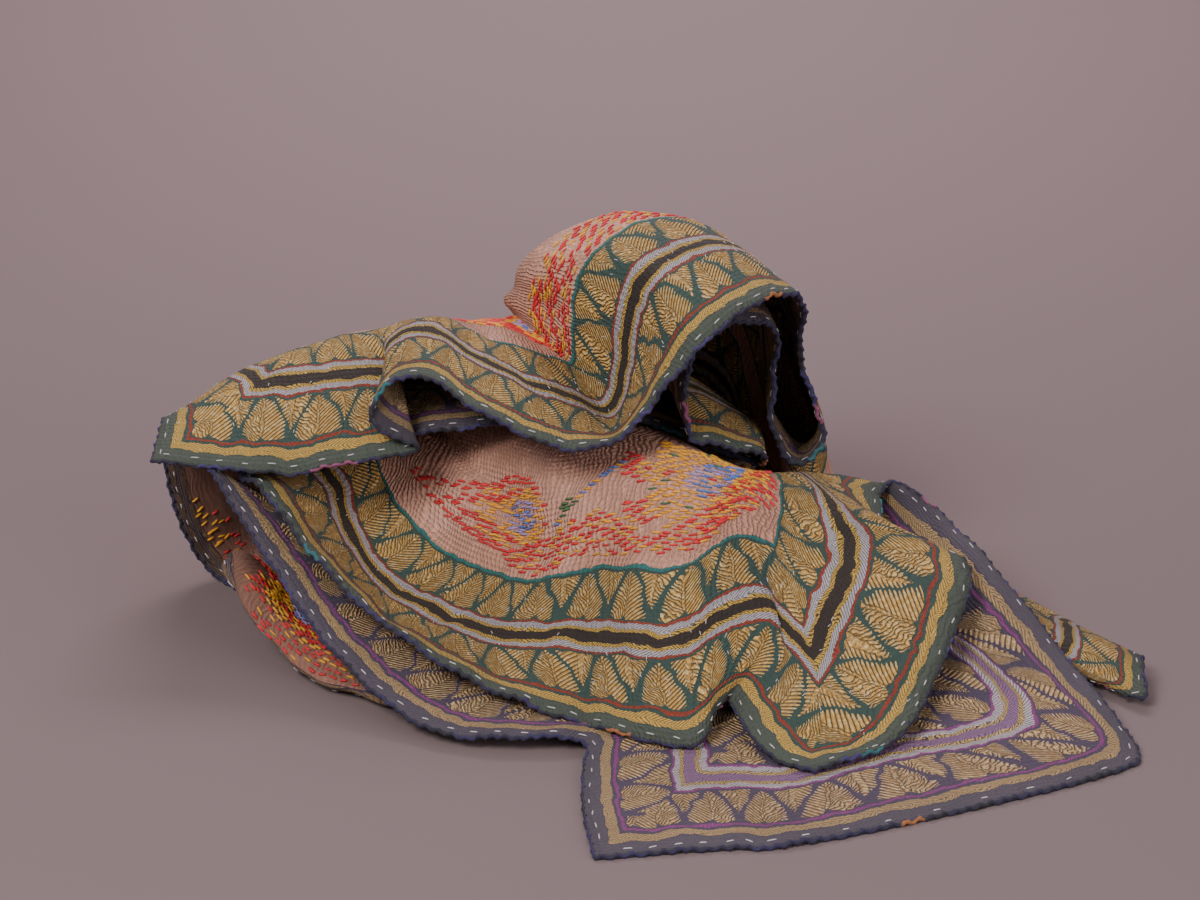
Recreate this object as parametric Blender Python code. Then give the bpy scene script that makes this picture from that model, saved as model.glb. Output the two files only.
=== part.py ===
"""A quilted kantha bedcover, dropped in a loose heap: one folded sheet of even thickness.

The sheet is one rectangle of layered cloth. It is described by a row of folds, each one a line
across the cloth from its near hem to its far hem. Neighbouring folds are joined by a smooth
surface, the layers are eased apart so that none touch, and the surface is given its thickness.
X is to the right, Y away from the viewer, Z up. The floor is at Z = 0, and the origin is on it,
below the middle of the heap.
"""
import bpy
import numpy as np
from mathutils.bvhtree import BVHTree

CM = 0.01                   # the table of folds is in centimetres
THICKNESS = 0.30            # layered cotton, quilted
ROWS = 84                   # samples along the hems, fold to fold
COLUMNS = 29                # samples across, hem to hem
FLOOR_LEVEL = 0.20          # middle of the cloth where it lies on the floor
FLAT_BELOW = 0.12           # underside nearer the floor than this lies flat on it
CLEAR_THICKNESS = 0.34      # the layers are eased apart until this thickness would fit
EASE_STEP = 0.10            # how far crowded layers move apart in one round
EASE_SMOOTH = 0.35          # how much a crowded fold is rounded off in one round
EASE_ROUNDS = 400
PINCH_ROWS = 1.2            # nearer than this along and across, two faces are one pinched spot
PINCH_COLUMNS = 1.5
BACK_TO_BACK = -0.2         # faces turned against each other more than this are two layers

LIFT_AT_FOOT = 1.6          # height of a hanging fold's foot above the level it lies at
FOOT_TO_TURN = 2.5          # how far the cloth comes forward between its foot and the floor
RIM_DROP = 1.3              # how far a rolled hem lies behind the front of its roll
# Shares of the way along a far side, and with the second number, of the rise at its end.
INSIDE_STEPS = (0.14, 0.28, 0.42, 0.55, 0.68, 0.80, 0.90, 1.0)
WRAP_STEPS = ((0.35, 0.0), (0.6, 0.2), (0.78, 0.45), (0.88, 0.7))
ROLL_STEPS = ((0.4, 0.1), (0.8, 0.75), (0.95, 1.0))

folds = []


def between(a, b, share):
    """The point the given share of the way from a to b."""
    return tuple(p + (q - p) * share for p, q in zip(a, b))


def wrapped_far(ridge, back, front, level, rolled):
    """Far side of a fold that falls behind the heap and comes forward along the floor."""
    start = (back[0], back[1] - FOOT_TO_TURN)
    side = between(ridge, back + (level,), 0.5)
    fall = (side[0], between(ridge, back, 0.75)[1], between(ridge, back + (level,), 0.45)[2])
    foot = (back[0], back[1], level + LIFT_AT_FOOT)
    turn = (between(back, front, 0.03)[0], start[1], level)

    def forward(share, lift):
        x, y = between(start, front[:2], share)
        return (x, y, level + (front[2] - level) * lift)

    if rolled:
        under_roll = (front[0], front[1], front[2] * 0.6 + FLOOR_LEVEL / 2)
        hem = (front[0] + FLOOR_LEVEL, front[1] + RIM_DROP, FLOOR_LEVEL)
        return [fall, foot, turn] + [forward(*step) for step in ROLL_STEPS] + [under_roll, hem]
    return [fall, foot, turn] + [forward(*step) for step in WRAP_STEPS] + [front]


def fold(name, hem, band, line, field, ridge, far=None, back=None, front=None, level=0.2,
         rolled=False, end=None, dip=None, knee=None):
    """One line across the cloth: five named points on its near side and eight on its far side."""
    if end is not None:
        far = [between(ridge, end, share) for share in INSIDE_STEPS]
    elif front is not None:
        far = wrapped_far(ridge, back, front, level, rolled)
    dip = dip or between(ridge, far[0], 0.5)
    knee = knee or between(far[2], far[3], 0.5)
    folds.append([hem, band, line, field, ridge, dip] + list(far[:3]) + [knee] + list(far[3:]))


# Upper flap: from the first corner, along the long hem, to the foot of the hood.
fold("left edge",
     hem=(-32.5, 8, 14.2), band=(-32.3, 13, 15.6), line=(-33.2, 17, 12.5), field=(-33.2, 18.5, 8),
     ridge=(-32.5, 19, 4.5),
     far=((-31.5, 19.3, 2.2), (-30.2, 19, 0.7), (-28.8, 18, 0.2), (-27.6, 17, 0.2), (-26.8, 15.5, 0.2),
          (-24.5, 13, 0.2), (-23, 10, 0.2), (-21, 7, 0.2)))
fold("left",
     hem=(-27.5, 7.3, 14), band=(-28, 12.8, 17.6), line=(-28.8, 17.5, 16.8), field=(-29.2, 21.5, 11),
     ridge=(-28.8, 23, 6),
     far=((-28.2, 23.5, 3), (-27.5, 22.5, 1), (-26.8, 19, 0.9), (-26.2, 14.5, 2.6), (-27, 9.4, 7.6),
          (-28.8, 6.6, 12), (-29.6, 5.4, 11), (-28.8, 6.0, 8.8)))
fold("left mid",
     hem=(-23, 6.8, 13.8), band=(-23.5, 12.8, 18.8), line=(-24.5, 17.8, 19), field=(-25, 23.5, 14),
     ridge=(-25, 27, 7),
     far=((-24.5, 28, 3.5), (-24, 27.5, 1), (-23.5, 23, 0.7), (-23, 15, 1.6), (-24, 7.6, 4.4),
          (-25.4, 4.4, 6.3), (-25.9, 3.1, 5.2), (-24.9, 4.2, 3.4)))
fold("foot left",
     hem=(-19.8, 6.3, 13.9), band=(-20, 12.4, 18.9), line=(-20.3, 17.6, 20.4),
     field=(-20.5, 25.5, 16), ridge=(-20.5, 29.5, 8),
     far=((-20.2, 30.6, 4.6), (-19.5, 31, 1.9), (-19.6, 28.5, 0.4), (-20.8, 17.7, 0.7),
          (-22.1, 6.9, 2.4), (-22.7, 2.8, 3.7), (-22.9, 1.5, 2.6), (-22.4, 2.6, 1.2)))
fold("tuck under",
     hem=(-7.5, 6.8, 14.2), band=(-12.2, 12.4, 17.9), line=(-17.6, 17.5, 20.7),
     field=(-18, 26, 16.4), ridge=(-18, 30.3, 8),
     back=(-17, 31.8), front=(-20.5, -0.8, 2.2), level=0.2, rolled=True)
fold("tuck foot",
     hem=(-17.6, 5.6, 15.3), band=(-16.4, 11.4, 19.6), line=(-16.2, 17.8, 21.1),
     field=(-16.2, 26.6, 16.6), ridge=(-16, 31, 8),
     back=(-15, 32.6), front=(-18, -2.4, 1.7), level=0.2, rolled=True)
fold("arch left",
     hem=(-17.1, 7.2, 17.9), band=(-15.6, 12.4, 20.9), line=(-14.8, 18, 21.7),
     field=(-14.4, 27, 16.8), ridge=(-14.2, 31.5, 8),
     back=(-13.2, 33.2), front=(-16, -3.5, 1.5), level=0.2, rolled=True)
fold("arch top",
     hem=(-14, 9, 20.6), band=(-13, 14, 21.5), line=(-12.6, 18.7, 21.8), field=(-12.5, 27.3, 17),
     ridge=(-12.5, 32, 8),
     back=(-11.5, 33.6), front=(-14, -5, 1.4), level=0.2, rolled=True)
fold("arch right",
     hem=(-8.5, 5.5, 18.9), band=(-8.7, 11, 21.2), line=(-9.2, 16, 21.7), field=(-8.9, 25.5, 18.5),
     ridge=(-8.5, 32.3, 8),
     back=(-7.5, 34), front=(-9, -8.4, 1.1), level=0.2, rolled=True)
fold("flap right",
     hem=(-2.6, 4.5, 16.4), band=(-3.6, 10.6, 19), line=(-5, 15.2, 20.7), field=(-7, 23, 20.5),
     ridge=(-5, 32, 9),
     back=(-4, 34), front=(-3, -10.2, 1), level=0.2, rolled=True)
# Hood: the flap rises, doubles back on itself at the right and comes down inside.
fold("hood foot",
     hem=(1.6, 5, 17.3), band=(0.9, 12, 16.2), line=(-1.2, 15.5, 18.2), field=(-6.6, 20.5, 21.8),
     ridge=(-3, 31, 14),
     back=(0, 35), front=(2, -4, 0.2), level=0.2)
fold("hood left",
     hem=(4.2, 5, 20.4), band=(2.4, 11.6, 20.9), line=(-1.6, 15, 22.9), field=(-7.4, 20, 23.2),
     ridge=(-3, 31, 16.5),
     back=(4, 36), front=(8, 4, 0.2), level=0.2)
fold("hood rise",
     hem=(7.2, 5.4, 24), band=(3.5, 10.6, 26.9), line=(-0.5, 14.8, 27.6), field=(-5.7, 20.4, 25.8),
     ridge=(-1, 32, 17),
     back=(7, 36), front=(12, 8, 0.2), level=0.2)
fold("hood top",
     hem=(10.3, 7.5, 25.8), band=(6.1, 13, 28.5), line=(2.7, 17.6, 29.2), field=(-1.4, 22.8, 27.2),
     ridge=(3, 32, 17),
     back=(9, 36), front=(16, 12, 0.2), level=0.2)
fold("hood crown",
     hem=(13.3, 10, 26.3), band=(10.2, 16.5, 27.7), line=(7.8, 21.5, 28.1), field=(5, 28.5, 23.5),
     ridge=(8, 33, 13),
     back=(14, 35), front=(26, 16, 0.2), level=0.2)
fold("hood shoulder",
     hem=(15, 13, 23.9), band=(14.3, 19.5, 22.8), line=(13.3, 24.5, 20.7), field=(13, 30.5, 14),
     ridge=(14.5, 33.5, 8),
     far=((16.5, 34, 5), (19.5, 33.4, 2), (23.5, 30.4, 0.9), (26.5, 26.2, 0.9), (29.5, 20, 0.9),
          (32.5, 13, 0.9), (35, 9, 0.8), (38.3, 3.2, 0.7)))
fold("right wall",
     hem=(15, 15, 19), band=(15.3, 21.5, 17.8), line=(15.6, 26.8, 14.8), field=(16.6, 30, 9),
     ridge=(18.5, 30.5, 5),
     far=((20, 30, 3.4), (22, 28, 2.2), (25, 24, 1.7), (27.5, 20, 1.6), (30.5, 14, 1.6),
          (33, 9, 1.7), (36, 4.5, 1.9), (38.6, 0.8, 2)))
fold("wall foot",
     hem=(16.9, 16, 13.6), band=(17.1, 21.5, 12.6), line=(17.5, 25.5, 10.6), field=(18.5, 27.5, 6.5),
     ridge=(19.6, 27.5, 4),
     far=((21, 26.5, 3.2), (23.2, 24, 2.6), (26, 20, 2.2), (28, 16, 2.1), (30.5, 11, 2),
          (33, 6, 2.1), (35.5, 2.5, 2.1), (38.3, -2, 1.8)))
fold("wall turn",
     hem=(15.4, 15.3, 11.2), band=(15.8, 20.5, 10.8), line=(16, 23.5, 9.5), field=(16.6, 25, 6.5),
     ridge=(17.8, 24.8, 4.4),
     far=((19.8, 23.6, 3.4), (22.4, 21.4, 2.8), (25.2, 18, 2.2), (27.3, 13.5, 2), (29.5, 8, 1.7),
          (31.5, 3, 1.5), (34, 0, 1), (37.5, -4, 0.6)))
# Inside of the hood, ending as the floor of the hollow.
fold("inner right",
     hem=(12.9, 14.2, 14.2), band=(13.2, 20, 14), line=(13.6, 23, 12.4), field=(14.6, 25, 8.4),
     ridge=(15.4, 25.4, 5.2),
     far=((16.6, 25, 3), (18.2, 24.2, 1.7), (21, 22, 1.2), (24, 18, 1.1), (26.5, 14, 1.1),
          (28.5, 10.5, 1), (30.5, 7, 0.9), (32, 4.5, 0.9)))
fold("inner side",
     hem=(13, 14, 19.2), band=(12.9, 19.5, 19), line=(12.6, 23.6, 17), field=(12.8, 26.8, 12.4),
     ridge=(13.2, 27.6, 9),
     far=((13.8, 27.6, 6), (14.8, 27.2, 3.6), (15.8, 26.4, 2.1), (16.8, 25.4, 1.4), (17.8, 24.2, 1.2),
          (18.6, 23, 1.1), (19.4, 22, 1.1), (20, 21, 1.1)))
fold("inner crown",
     hem=(12.6, 12.6, 23), band=(11.9, 18, 23.6), line=(10.8, 23, 22.4), field=(9.8, 27.6, 17),
     ridge=(9.6, 29.6, 11),
     end=(9.8, 29.4, 7.4))
fold("inner top",
     hem=(9.2, 10, 23.9), band=(7.4, 14.4, 26), line=(5.8, 18.8, 26.2), field=(4.5, 26, 21.5),
     ridge=(5, 30.2, 13),
     end=(5, 30.2, 8.5))
fold("inner left",
     hem=(6.4, 9, 21), band=(4.6, 13.4, 22.2), line=(3.2, 17.4, 22.4), field=(1.5, 25, 19.5),
     ridge=(0.8, 29.8, 12.5),
     end=(0.8, 29.8, 8.5))
fold("inner foot",
     hem=(6.3, 9, 16.6), band=(5, 14, 18.2), line=(4, 18, 19), field=(2.4, 25, 17),
     ridge=(1.4, 28.2, 11.8),
     end=(1.4, 28.1, 8.2))
fold("floor",
     hem=(8.6, 9.6, 14.9), band=(8.3, 15.5, 16.2), line=(8, 20, 15.9), field=(7.2, 25.4, 13.4),
     ridge=(6.9, 27.4, 10),
     end=(7, 27.3, 7))
fold("floor right",
     hem=(12.2, 11.2, 13.4), band=(12.1, 16.5, 13.4), line=(11.9, 21, 12.4), field=(11.9, 24.4, 9.6),
     ridge=(12, 25.2, 7.4),
     end=(12.4, 24.8, 4.6))
# Layer hidden under the flap, its lining side up, going back to the left.
fold("hidden right",
     hem=(11.4, 13.6, 12), band=(11.2, 16.5, 12), line=(10.8, 19, 11.2), field=(10.6, 21.4, 8.8),
     ridge=(10.8, 22, 6.4),
     far=((10.9, 22, 4.4), (10.9, 21.8, 2.8), (10.8, 21.4, 1.8), (10.7, 20.9, 1.4),
          (10.6, 20.4, 1.25), (10.5, 20, 1.2), (10.4, 19.6, 1.2), (10.3, 19.2, 1.2)))
fold("hidden mid",
     hem=(2, 12.5, 15.9), band=(2, 16, 16.4), line=(1.5, 19.8, 16.1), field=(1, 24.6, 13.4),
     ridge=(1, 26.6, 9),
     far=((1, 26.8, 5.6), (1, 26.5, 3), (0.9, 25.5, 1.8), (0.8, 24.2, 1.4), (0.7, 23.2, 1.3),
          (0.6, 22.2, 1.3), (0.6, 21.3, 1.3), (0.5, 20.5, 1.3)))
fold("hidden left",
     hem=(-12, 10.5, 15.6), band=(-12, 15, 16.6), line=(-12, 19.5, 16.6), field=(-12, 25, 13.6),
     ridge=(-12, 27.4, 8.5),
     far=((-12, 27.7, 5), (-12, 27.2, 2.8), (-12.2, 26, 1.7), (-12.4, 24.6, 1.4), (-12.6, 23.4, 1.3),
          (-12.8, 22.4, 1.3), (-12.9, 21.4, 1.3), (-13, 20.5, 1.3)))
fold("hidden end",
     hem=(-24, 9.5, 13.9), band=(-22.5, 14, 15.6), line=(-21.5, 18.5, 15.6), field=(-20.5, 23.8, 12),
     ridge=(-20.3, 26, 7.8),
     far=((-20.6, 26.6, 4.8), (-21.1, 25.8, 2.8), (-21.5, 24.2, 1.9), (-21.9, 22.2, 1.7),
          (-22.2, 20.4, 1.8), (-22.6, 18.6, 2.1), (-22.9, 17.2, 2.6), (-23.2, 16, 3.2)))
# Middle layer: turned at the left, right side up, down to the free corner.
fold("left turn",
     hem=(-26.3, 8.6, 12.9), band=(-24.5, 13.4, 13.2), line=(-23.5, 17.5, 13), field=(-22.5, 22, 10),
     ridge=(-22.2, 24, 7),
     far=((-22.2, 24.2, 5.4), (-22.4, 23.4, 4.2), (-22.6, 21, 3.8), (-22.8, 18, 4.4),
          (-23.6, 14.2, 6.8), (-25.3, 11.8, 9.8), (-26.8, 10, 11.8), (-28.2, 8.7, 13.4)))
fold("mid left",
     hem=(-24.5, 6.6, 12.9), band=(-20.6, 11.8, 11.2), line=(-18.6, 15, 11.6), field=(-18, 19, 12),
     ridge=(-18.3, 23, 9),
     far=((-19, 24, 5), (-19.5, 22.5, 2.6), (-19.8, 19, 2.4), (-20, 16, 3), (-21, 12, 5.2),
          (-22.5, 9.5, 9), (-24.4, 8.4, 10.8), (-27, 6.4, 12.2)))
fold("mid fold",
     hem=(-21.4, 3, 10.1), band=(-18.7, 9.5, 7.9), line=(-16.2, 13, 8.6), field=(-14.8, 17, 12.2),
     ridge=(-14.5, 22, 12),
     far=((-14.8, 25, 7), (-15.5, 24, 2.4), (-16, 19, 2.2), (-16.4, 14, 2.4), (-17.3, 9, 3.8),
          (-18.8, 6.8, 6.2), (-20.6, 5.4, 8), (-24, 3.2, 8.9)))
fold("mid dip",
     hem=(-16.6, -1, 6.8), band=(-15.8, 6.2, 5.2), line=(-12.3, 9.5, 6.6), field=(-10.5, 13, 12.5),
     ridge=(-10, 20.6, 13.6),
     far=((-10, 24.4, 8), (-10.5, 24.2, 2.6), (-11, 19, 2), (-11.6, 12, 2.2), (-13, 7, 3),
          (-14.5, 3.5, 4), (-17, 1, 4.8), (-20, -1.5, 5.2)))
fold("mid low",
     hem=(-10.6, -5, 4), band=(-11, 1.8, 4.2), line=(-8.4, 6, 5.4), field=(-6.4, 11.5, 13),
     ridge=(-5.5, 19.6, 14),
     far=((-5, 24.2, 9), (-5.3, 24.2, 2.6), (-6, 18, 1.9), (-7, 10, 1.9), (-8.4, 3.5, 2.1),
          (-9.7, -0.5, 2.3), (-12, -3.5, 2.3), (-15.2, -6.2, 2.2)))
fold("mid front",
     hem=(-5.2, -7.6, 2.2), band=(-6.8, -1.1, 4), line=(-5, 3.6, 6), field=(-3.2, 10, 13.6),
     ridge=(-2, 18.6, 14.3),
     far=((-1.5, 23.8, 9), (-1.5, 23.8, 2.6), (-2, 18, 1.9), (-3, 9, 1.7), (-4.2, 1.5, 1.6),
          (-5.2, -2.5, 1.6), (-7.5, -6, 1.5), (-10.5, -9.6, 0.9)))
fold("mid crest",
     hem=(-0.8, -9.3, 1.6), band=(-1.2, -3.2, 4.6), line=(-0.6, 1.2, 8), field=(1, 8.5, 14.6),
     ridge=(2, 17.4, 14.2),
     far=((3, 22.6, 9), (3, 22.8, 2.6), (2.5, 16, 1.9), (1.8, 7, 1.7), (0.8, -1, 1.5), (0, -4, 1.5),
          (-2, -7.5, 1.4), (-5.4, -10.6, 1.2)))
fold("mid right",
     hem=(3.5, -11, 1.2), band=(2.5, -4.9, 5.9), line=(2.8, -1.2, 9.8), field=(5, 7, 14.9),
     ridge=(7.2, 14.6, 12.6),
     far=((8.5, 19.5, 8), (9, 20, 2.4), (8, 13, 1.7), (6.5, 5, 1.4), (5, -2, 1.2), (3.5, -5, 1.2),
          (1.6, -8, 1.2), (-1.2, -10.5, 1)))
fold("corner left",
     hem=(6.8, -11.4, 1.2), band=(6.2, -5.6, 6.6), line=(6.5, -2, 10.6), field=(9.2, 5.6, 14.2),
     ridge=(11.4, 11.3, 11.4),
     far=((14, 15.5, 9), (15, 16.5, 3), (14.5, 10, 1.6), (13, 3, 1.3), (11, -4, 0.9), (8, -7, 0.8),
          (5, -9.5, 0.8), (-1, -13, 0.6)))
fold("corner ridge",
     hem=(8.3, -6.8, 2.3), band=(11.6, -4.3, 6.4), line=(11, 0.2, 10.4), field=(11.9, 6, 12.8),
     ridge=(14, 11.5, 12), dip=(15.6, 13.8, 11.2),
     far=((17, 15, 10.2), (18.5, 14.2, 5), (19.5, 8, 2.6), (20, 1, 1.6), (17.5, -5, 0.8),
          (13, -9, 0.5), (7.2, -11.5, 0.5), (-1.1, -15, 0.4)))
fold("corner band",
     hem=(9.6, -9.3, 1.7), band=(12.6, -7.9, 3.6), line=(14.3, -3.6, 6), field=(15.4, 2.2, 9.8),
     ridge=(17.5, 7.2, 11.4), dip=(17.4, 13, 10.2), knee=(26.6, 0.5, 3),
     far=((19.6, 16.6, 10), (22.8, 11.6, 6.4), (24.5, 5.5, 4.6), (28, -4, 1.6), (25, -9, 0.5),
          (14, -14.8, 0.2), (7.3, -16.4, 0.2), (-1, -19.5, 0.2)))
fold("corner hem",
     hem=(11.4, -12.8, 1), band=(16, -11, 1.8), line=(19.2, -6.5, 4.2), field=(21.6, 3.2, 9.2),
     ridge=(20.6, 7.2, 10), dip=(18.7, 12.8, 9.3), knee=(31.4, -2.2, 2.6),
     far=((21.2, 16.4, 11), (24.4, 11.6, 8.4), (27.2, 6, 6.8), (33.6, -7.6, 0.9),
          (30.8, -12.6, 0.2), (13.3, -20.5, 0.2), (7.3, -21.3, 0.2), (-0.6, -23, 0.2)))
fold("right edge",
     hem=(14.2, -14.4, 0.6), band=(20.2, -10.8, 1.5), line=(23.2, -5.2, 3.3), field=(26.6, 3.6, 7.6),
     ridge=(23.2, 7.6, 7.6), dip=(20, 12.6, 8.5), knee=(33.4, -1.8, 2.4),
     far=((22.3, 16.2, 11.5), (25, 12.4, 9), (28.4, 6.8, 6.8), (36, -9.2, 0.5), (32.8, -14.4, 0.2),
          (13, -23.3, 0.2), (7.3, -24, 0.2), (-0.3, -25.2, 0.2)))


def spacing(table, axis):
    """Knots along one direction of the table, from the square roots of the mean distances."""
    step = np.sqrt(np.linalg.norm(np.diff(table, axis=axis), axis=2)).mean(axis=1 - axis)
    return np.concatenate([[0.0], np.cumsum(step)])


def smooth_through(points, knots, places):
    """A smooth curve through the rows of points, read at the given places."""
    first = 2 * points[:1] - points[1:2]
    last = 2 * points[-1:] - points[-2:-1]
    p = np.concatenate([first, points, last])
    k = np.concatenate([[2 * knots[0] - knots[1]], knots, [2 * knots[-1] - knots[-2]]])
    i = np.clip(np.searchsorted(knots, places, side="right") - 1, 0, len(points) - 2)

    def mix(a, b, left, right):
        share = ((places - k[left]) / (k[right] - k[left])).reshape((-1, 1, 1))
        return a + (b - a) * share

    a1 = mix(p[i], p[i + 1], i, i + 1)
    a2 = mix(p[i + 1], p[i + 2], i + 1, i + 2)
    a3 = mix(p[i + 2], p[i + 3], i + 2, i + 3)
    b1 = mix(a1, a2, i, i + 2)
    b2 = mix(a2, a3, i + 1, i + 3)
    return mix(b1, b2, i + 1, i + 2)


def sheet(rows, columns):
    """Middle surface of the cloth as a grid of points, in centimetres."""
    table = np.array(folds, dtype=float)
    along = spacing(table, 0)
    across = spacing(table, 1)
    grid = smooth_through(table, along, np.linspace(0.0, along[-1], rows))
    grid = smooth_through(grid.swapaxes(0, 1), across, np.linspace(0.0, across[-1], columns))
    grid = grid.swapaxes(0, 1)
    grid[..., 2] = np.maximum(grid[..., 2], FLOOR_LEVEL)
    return grid


def normals(grid):
    """Unit normals of the grid."""
    n = np.cross(np.gradient(grid, axis=0), np.gradient(grid, axis=1))
    return n / np.linalg.norm(n, axis=2, keepdims=True)


def thickened(grid, thickness):
    """Points of the upper face, then of the lower face, of the cloth."""
    half = normals(grid) * thickness / 2
    return np.concatenate([(grid + half).reshape(-1, 3), (grid - half).reshape(-1, 3)])


def laid_flat(points):
    """The points with the underside flat on the floor wherever the cloth touches it."""
    flat = points.copy()
    flat[flat[:, 2] < FLAT_BELOW, 2] = 0.0
    return flat


def sheet_faces(rows, columns):
    """Triangles of both faces and of the rim that closes them, facing outwards."""
    index = np.arange(rows * columns).reshape(rows, columns)
    a, b = index[:-1, :-1].ravel(), index[1:, :-1].ravel()
    c, d = index[1:, 1:].ravel(), index[:-1, 1:].ravel()
    face = np.concatenate([np.stack([a, b, c], -1), np.stack([a, c, d], -1)])
    count = rows * columns
    edge = np.concatenate([index[:, 0], index[-1, 1:], index[-2::-1, -1], index[0, -2:0:-1]])
    after = np.roll(edge, -1)
    rim = np.concatenate([np.stack([after, edge, edge + count], -1),
                          np.stack([after, edge + count, after + count], -1)])
    return np.concatenate([face, face[:, ::-1] + count, rim])


def crowded(points, faces, count):
    """Pairs of faces that cut through one another, as grid points."""
    tree = BVHTree.FromPolygons(points.tolist(), faces.tolist(), epsilon=0.0)
    pairs = np.array([p for p in tree.overlap(tree) if p[0] < p[1]], dtype=int).reshape(-1, 2)
    one, other = faces[pairs[:, 0]], faces[pairs[:, 1]]
    shared = (one[:, :, None] == other[:, None, :]).any(axis=(1, 2))
    return one[~shared] % count, other[~shared] % count


def blurred(values):
    """The grid of values, each one mixed with its neighbours along and across."""
    for axis in (0, 1):
        size = values.shape[axis]
        padded = np.concatenate([np.take(values, [0], axis), values,
                                 np.take(values, [-1], axis)], axis)
        before = np.take(padded, range(size), axis)
        after = np.take(padded, range(2, size + 2), axis)
        values = (before + 2 * values + after) / 4
    return values


def eased_apart(grid):
    """The grid with crowded layers moved apart and pinched folds rounded."""
    rows, columns = grid.shape[:2]
    count = rows * columns
    faces = sheet_faces(rows, columns)
    for _ in range(EASE_ROUNDS):
        one, other = crowded(laid_flat(thickened(grid, CLEAR_THICKNESS)), faces, count)
        if len(one) == 0:
            one, other = crowded(laid_flat(thickened(grid, THICKNESS)), faces, count)
        if len(one) == 0:
            break
        row_gap = np.abs((one // columns).mean(1) - (other // columns).mean(1))
        column_gap = np.abs((one % columns).mean(1) - (other % columns).mean(1))
        points = grid.reshape(-1, 3)
        every_normal = normals(grid).reshape(-1, 3)
        normal = every_normal[one].mean(1)
        facing = (normal * every_normal[other].mean(1)).sum(1)
        pinched = (row_gap < PINCH_ROWS) & (column_gap < PINCH_COLUMNS) & (facing > BACK_TO_BACK)
        side = np.sign(((points[one].mean(1) - points[other].mean(1)) * normal).sum(1))
        push = side[:, None] * normal
        move = np.zeros((count, 3))
        round_off = np.zeros(count)
        for corner in range(3):
            np.add.at(move, one[~pinched, corner], push[~pinched])
            np.add.at(move, other[~pinched, corner], -push[~pinched])
            round_off[one[pinched, corner]] = 1.0
            round_off[other[pinched, corner]] = 1.0
        move /= np.maximum(np.linalg.norm(move, axis=1, keepdims=True), 1e-9)
        move = blurred(blurred(move.reshape(rows, columns, 3)))
        round_off = np.minimum(2 * blurred(round_off.reshape(rows, columns, 1)), 1.0)
        grid = grid + move * EASE_STEP + (blurred(grid) - grid) * round_off * EASE_SMOOTH
        grid[..., 2] = np.maximum(grid[..., 2], FLOOR_LEVEL)
    return grid


def cloth_material():
    """Dusty pink cotton with the sheen of old, much washed cloth."""
    material = bpy.data.materials.new("quilted cotton")
    material.use_nodes = True
    shader = material.node_tree.nodes["Principled BSDF"]
    shader.inputs["Base Color"].default_value = (0.42, 0.27, 0.20, 1.0)
    shader.inputs["Roughness"].default_value = 0.9
    return material


for old in list(bpy.data.objects):
    bpy.data.objects.remove(old, do_unlink=True)

grid = eased_apart(sheet(ROWS, COLUMNS))
points = laid_flat(thickened(grid, THICKNESS))
middle = (points.min(axis=0) + points.max(axis=0)) / 2
points[:, :2] -= middle[:2]
mesh = bpy.data.meshes.new("quilt")
mesh.from_pydata((points * CM).tolist(), [], sheet_faces(ROWS, COLUMNS).tolist())
mesh.update()
mesh.materials.append(cloth_material())
quilt = bpy.data.objects.new("quilt", mesh)
bpy.context.collection.objects.link(quilt)
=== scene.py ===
# %% [markdown]
# A kantha bedcover is several layers of worn cotton, quilted together with running stitch.
# This one lies in a heap: it rises into a hood, doubles back under itself and ends in two
# corners. The CAD solid already has that shape, and here the same folds are filled in finely,
# then given their embroidery, their stitches and their ruffled edge.

# %% Start from the CAD frame
import math

import bpy
import numpy as np
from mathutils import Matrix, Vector
from mathutils.bvhtree import BVHTree


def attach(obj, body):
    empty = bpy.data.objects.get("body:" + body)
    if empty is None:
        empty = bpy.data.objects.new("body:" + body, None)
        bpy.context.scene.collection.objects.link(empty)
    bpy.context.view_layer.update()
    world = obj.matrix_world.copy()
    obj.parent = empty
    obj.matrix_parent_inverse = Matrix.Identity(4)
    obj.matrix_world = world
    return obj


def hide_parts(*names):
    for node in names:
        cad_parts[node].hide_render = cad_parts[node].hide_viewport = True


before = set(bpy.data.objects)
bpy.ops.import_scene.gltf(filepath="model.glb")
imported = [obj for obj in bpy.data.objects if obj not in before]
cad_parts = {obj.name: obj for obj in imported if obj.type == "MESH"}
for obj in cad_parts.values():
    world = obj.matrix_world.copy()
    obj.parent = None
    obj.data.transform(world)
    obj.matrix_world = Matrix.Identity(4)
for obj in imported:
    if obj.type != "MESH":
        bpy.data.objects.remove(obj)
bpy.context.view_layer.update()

CM = 0.01
random = np.random.default_rng(11)


def linear(code):
    """A colour written as sRGB hex, as the linear numbers that shaders use."""
    parts = [int(code[i:i + 2], 16) / 255 for i in (1, 3, 5)]
    return tuple(p / 12.92 if p <= 0.04045 else ((p + 0.055) / 1.055) ** 2.4 for p in parts)


# %% [markdown]
# Cloth has no straight lines of its own, so its shape is told by its folds. Each fold is one line
# across the cloth from the near hem to the far hem, through fifteen places, in centimetres.
# A maker would find these lines by laying a string over the heap at every crest and valley. Where
# a fold's far side is hidden, a short rule can fill it in from its foot or its end alone.

# %% How a fold is written
LIFT_AT_FOOT = 1.6          # height of a hanging fold's foot above the level it lies at
FOOT_TO_TURN = 2.5          # how far the cloth comes forward between its foot and the floor
RIM_DROP = 1.3              # how far a rolled hem lies behind the front of its roll
FLOOR_LEVEL = 0.20          # middle of the cloth where it lies on the floor
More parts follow.
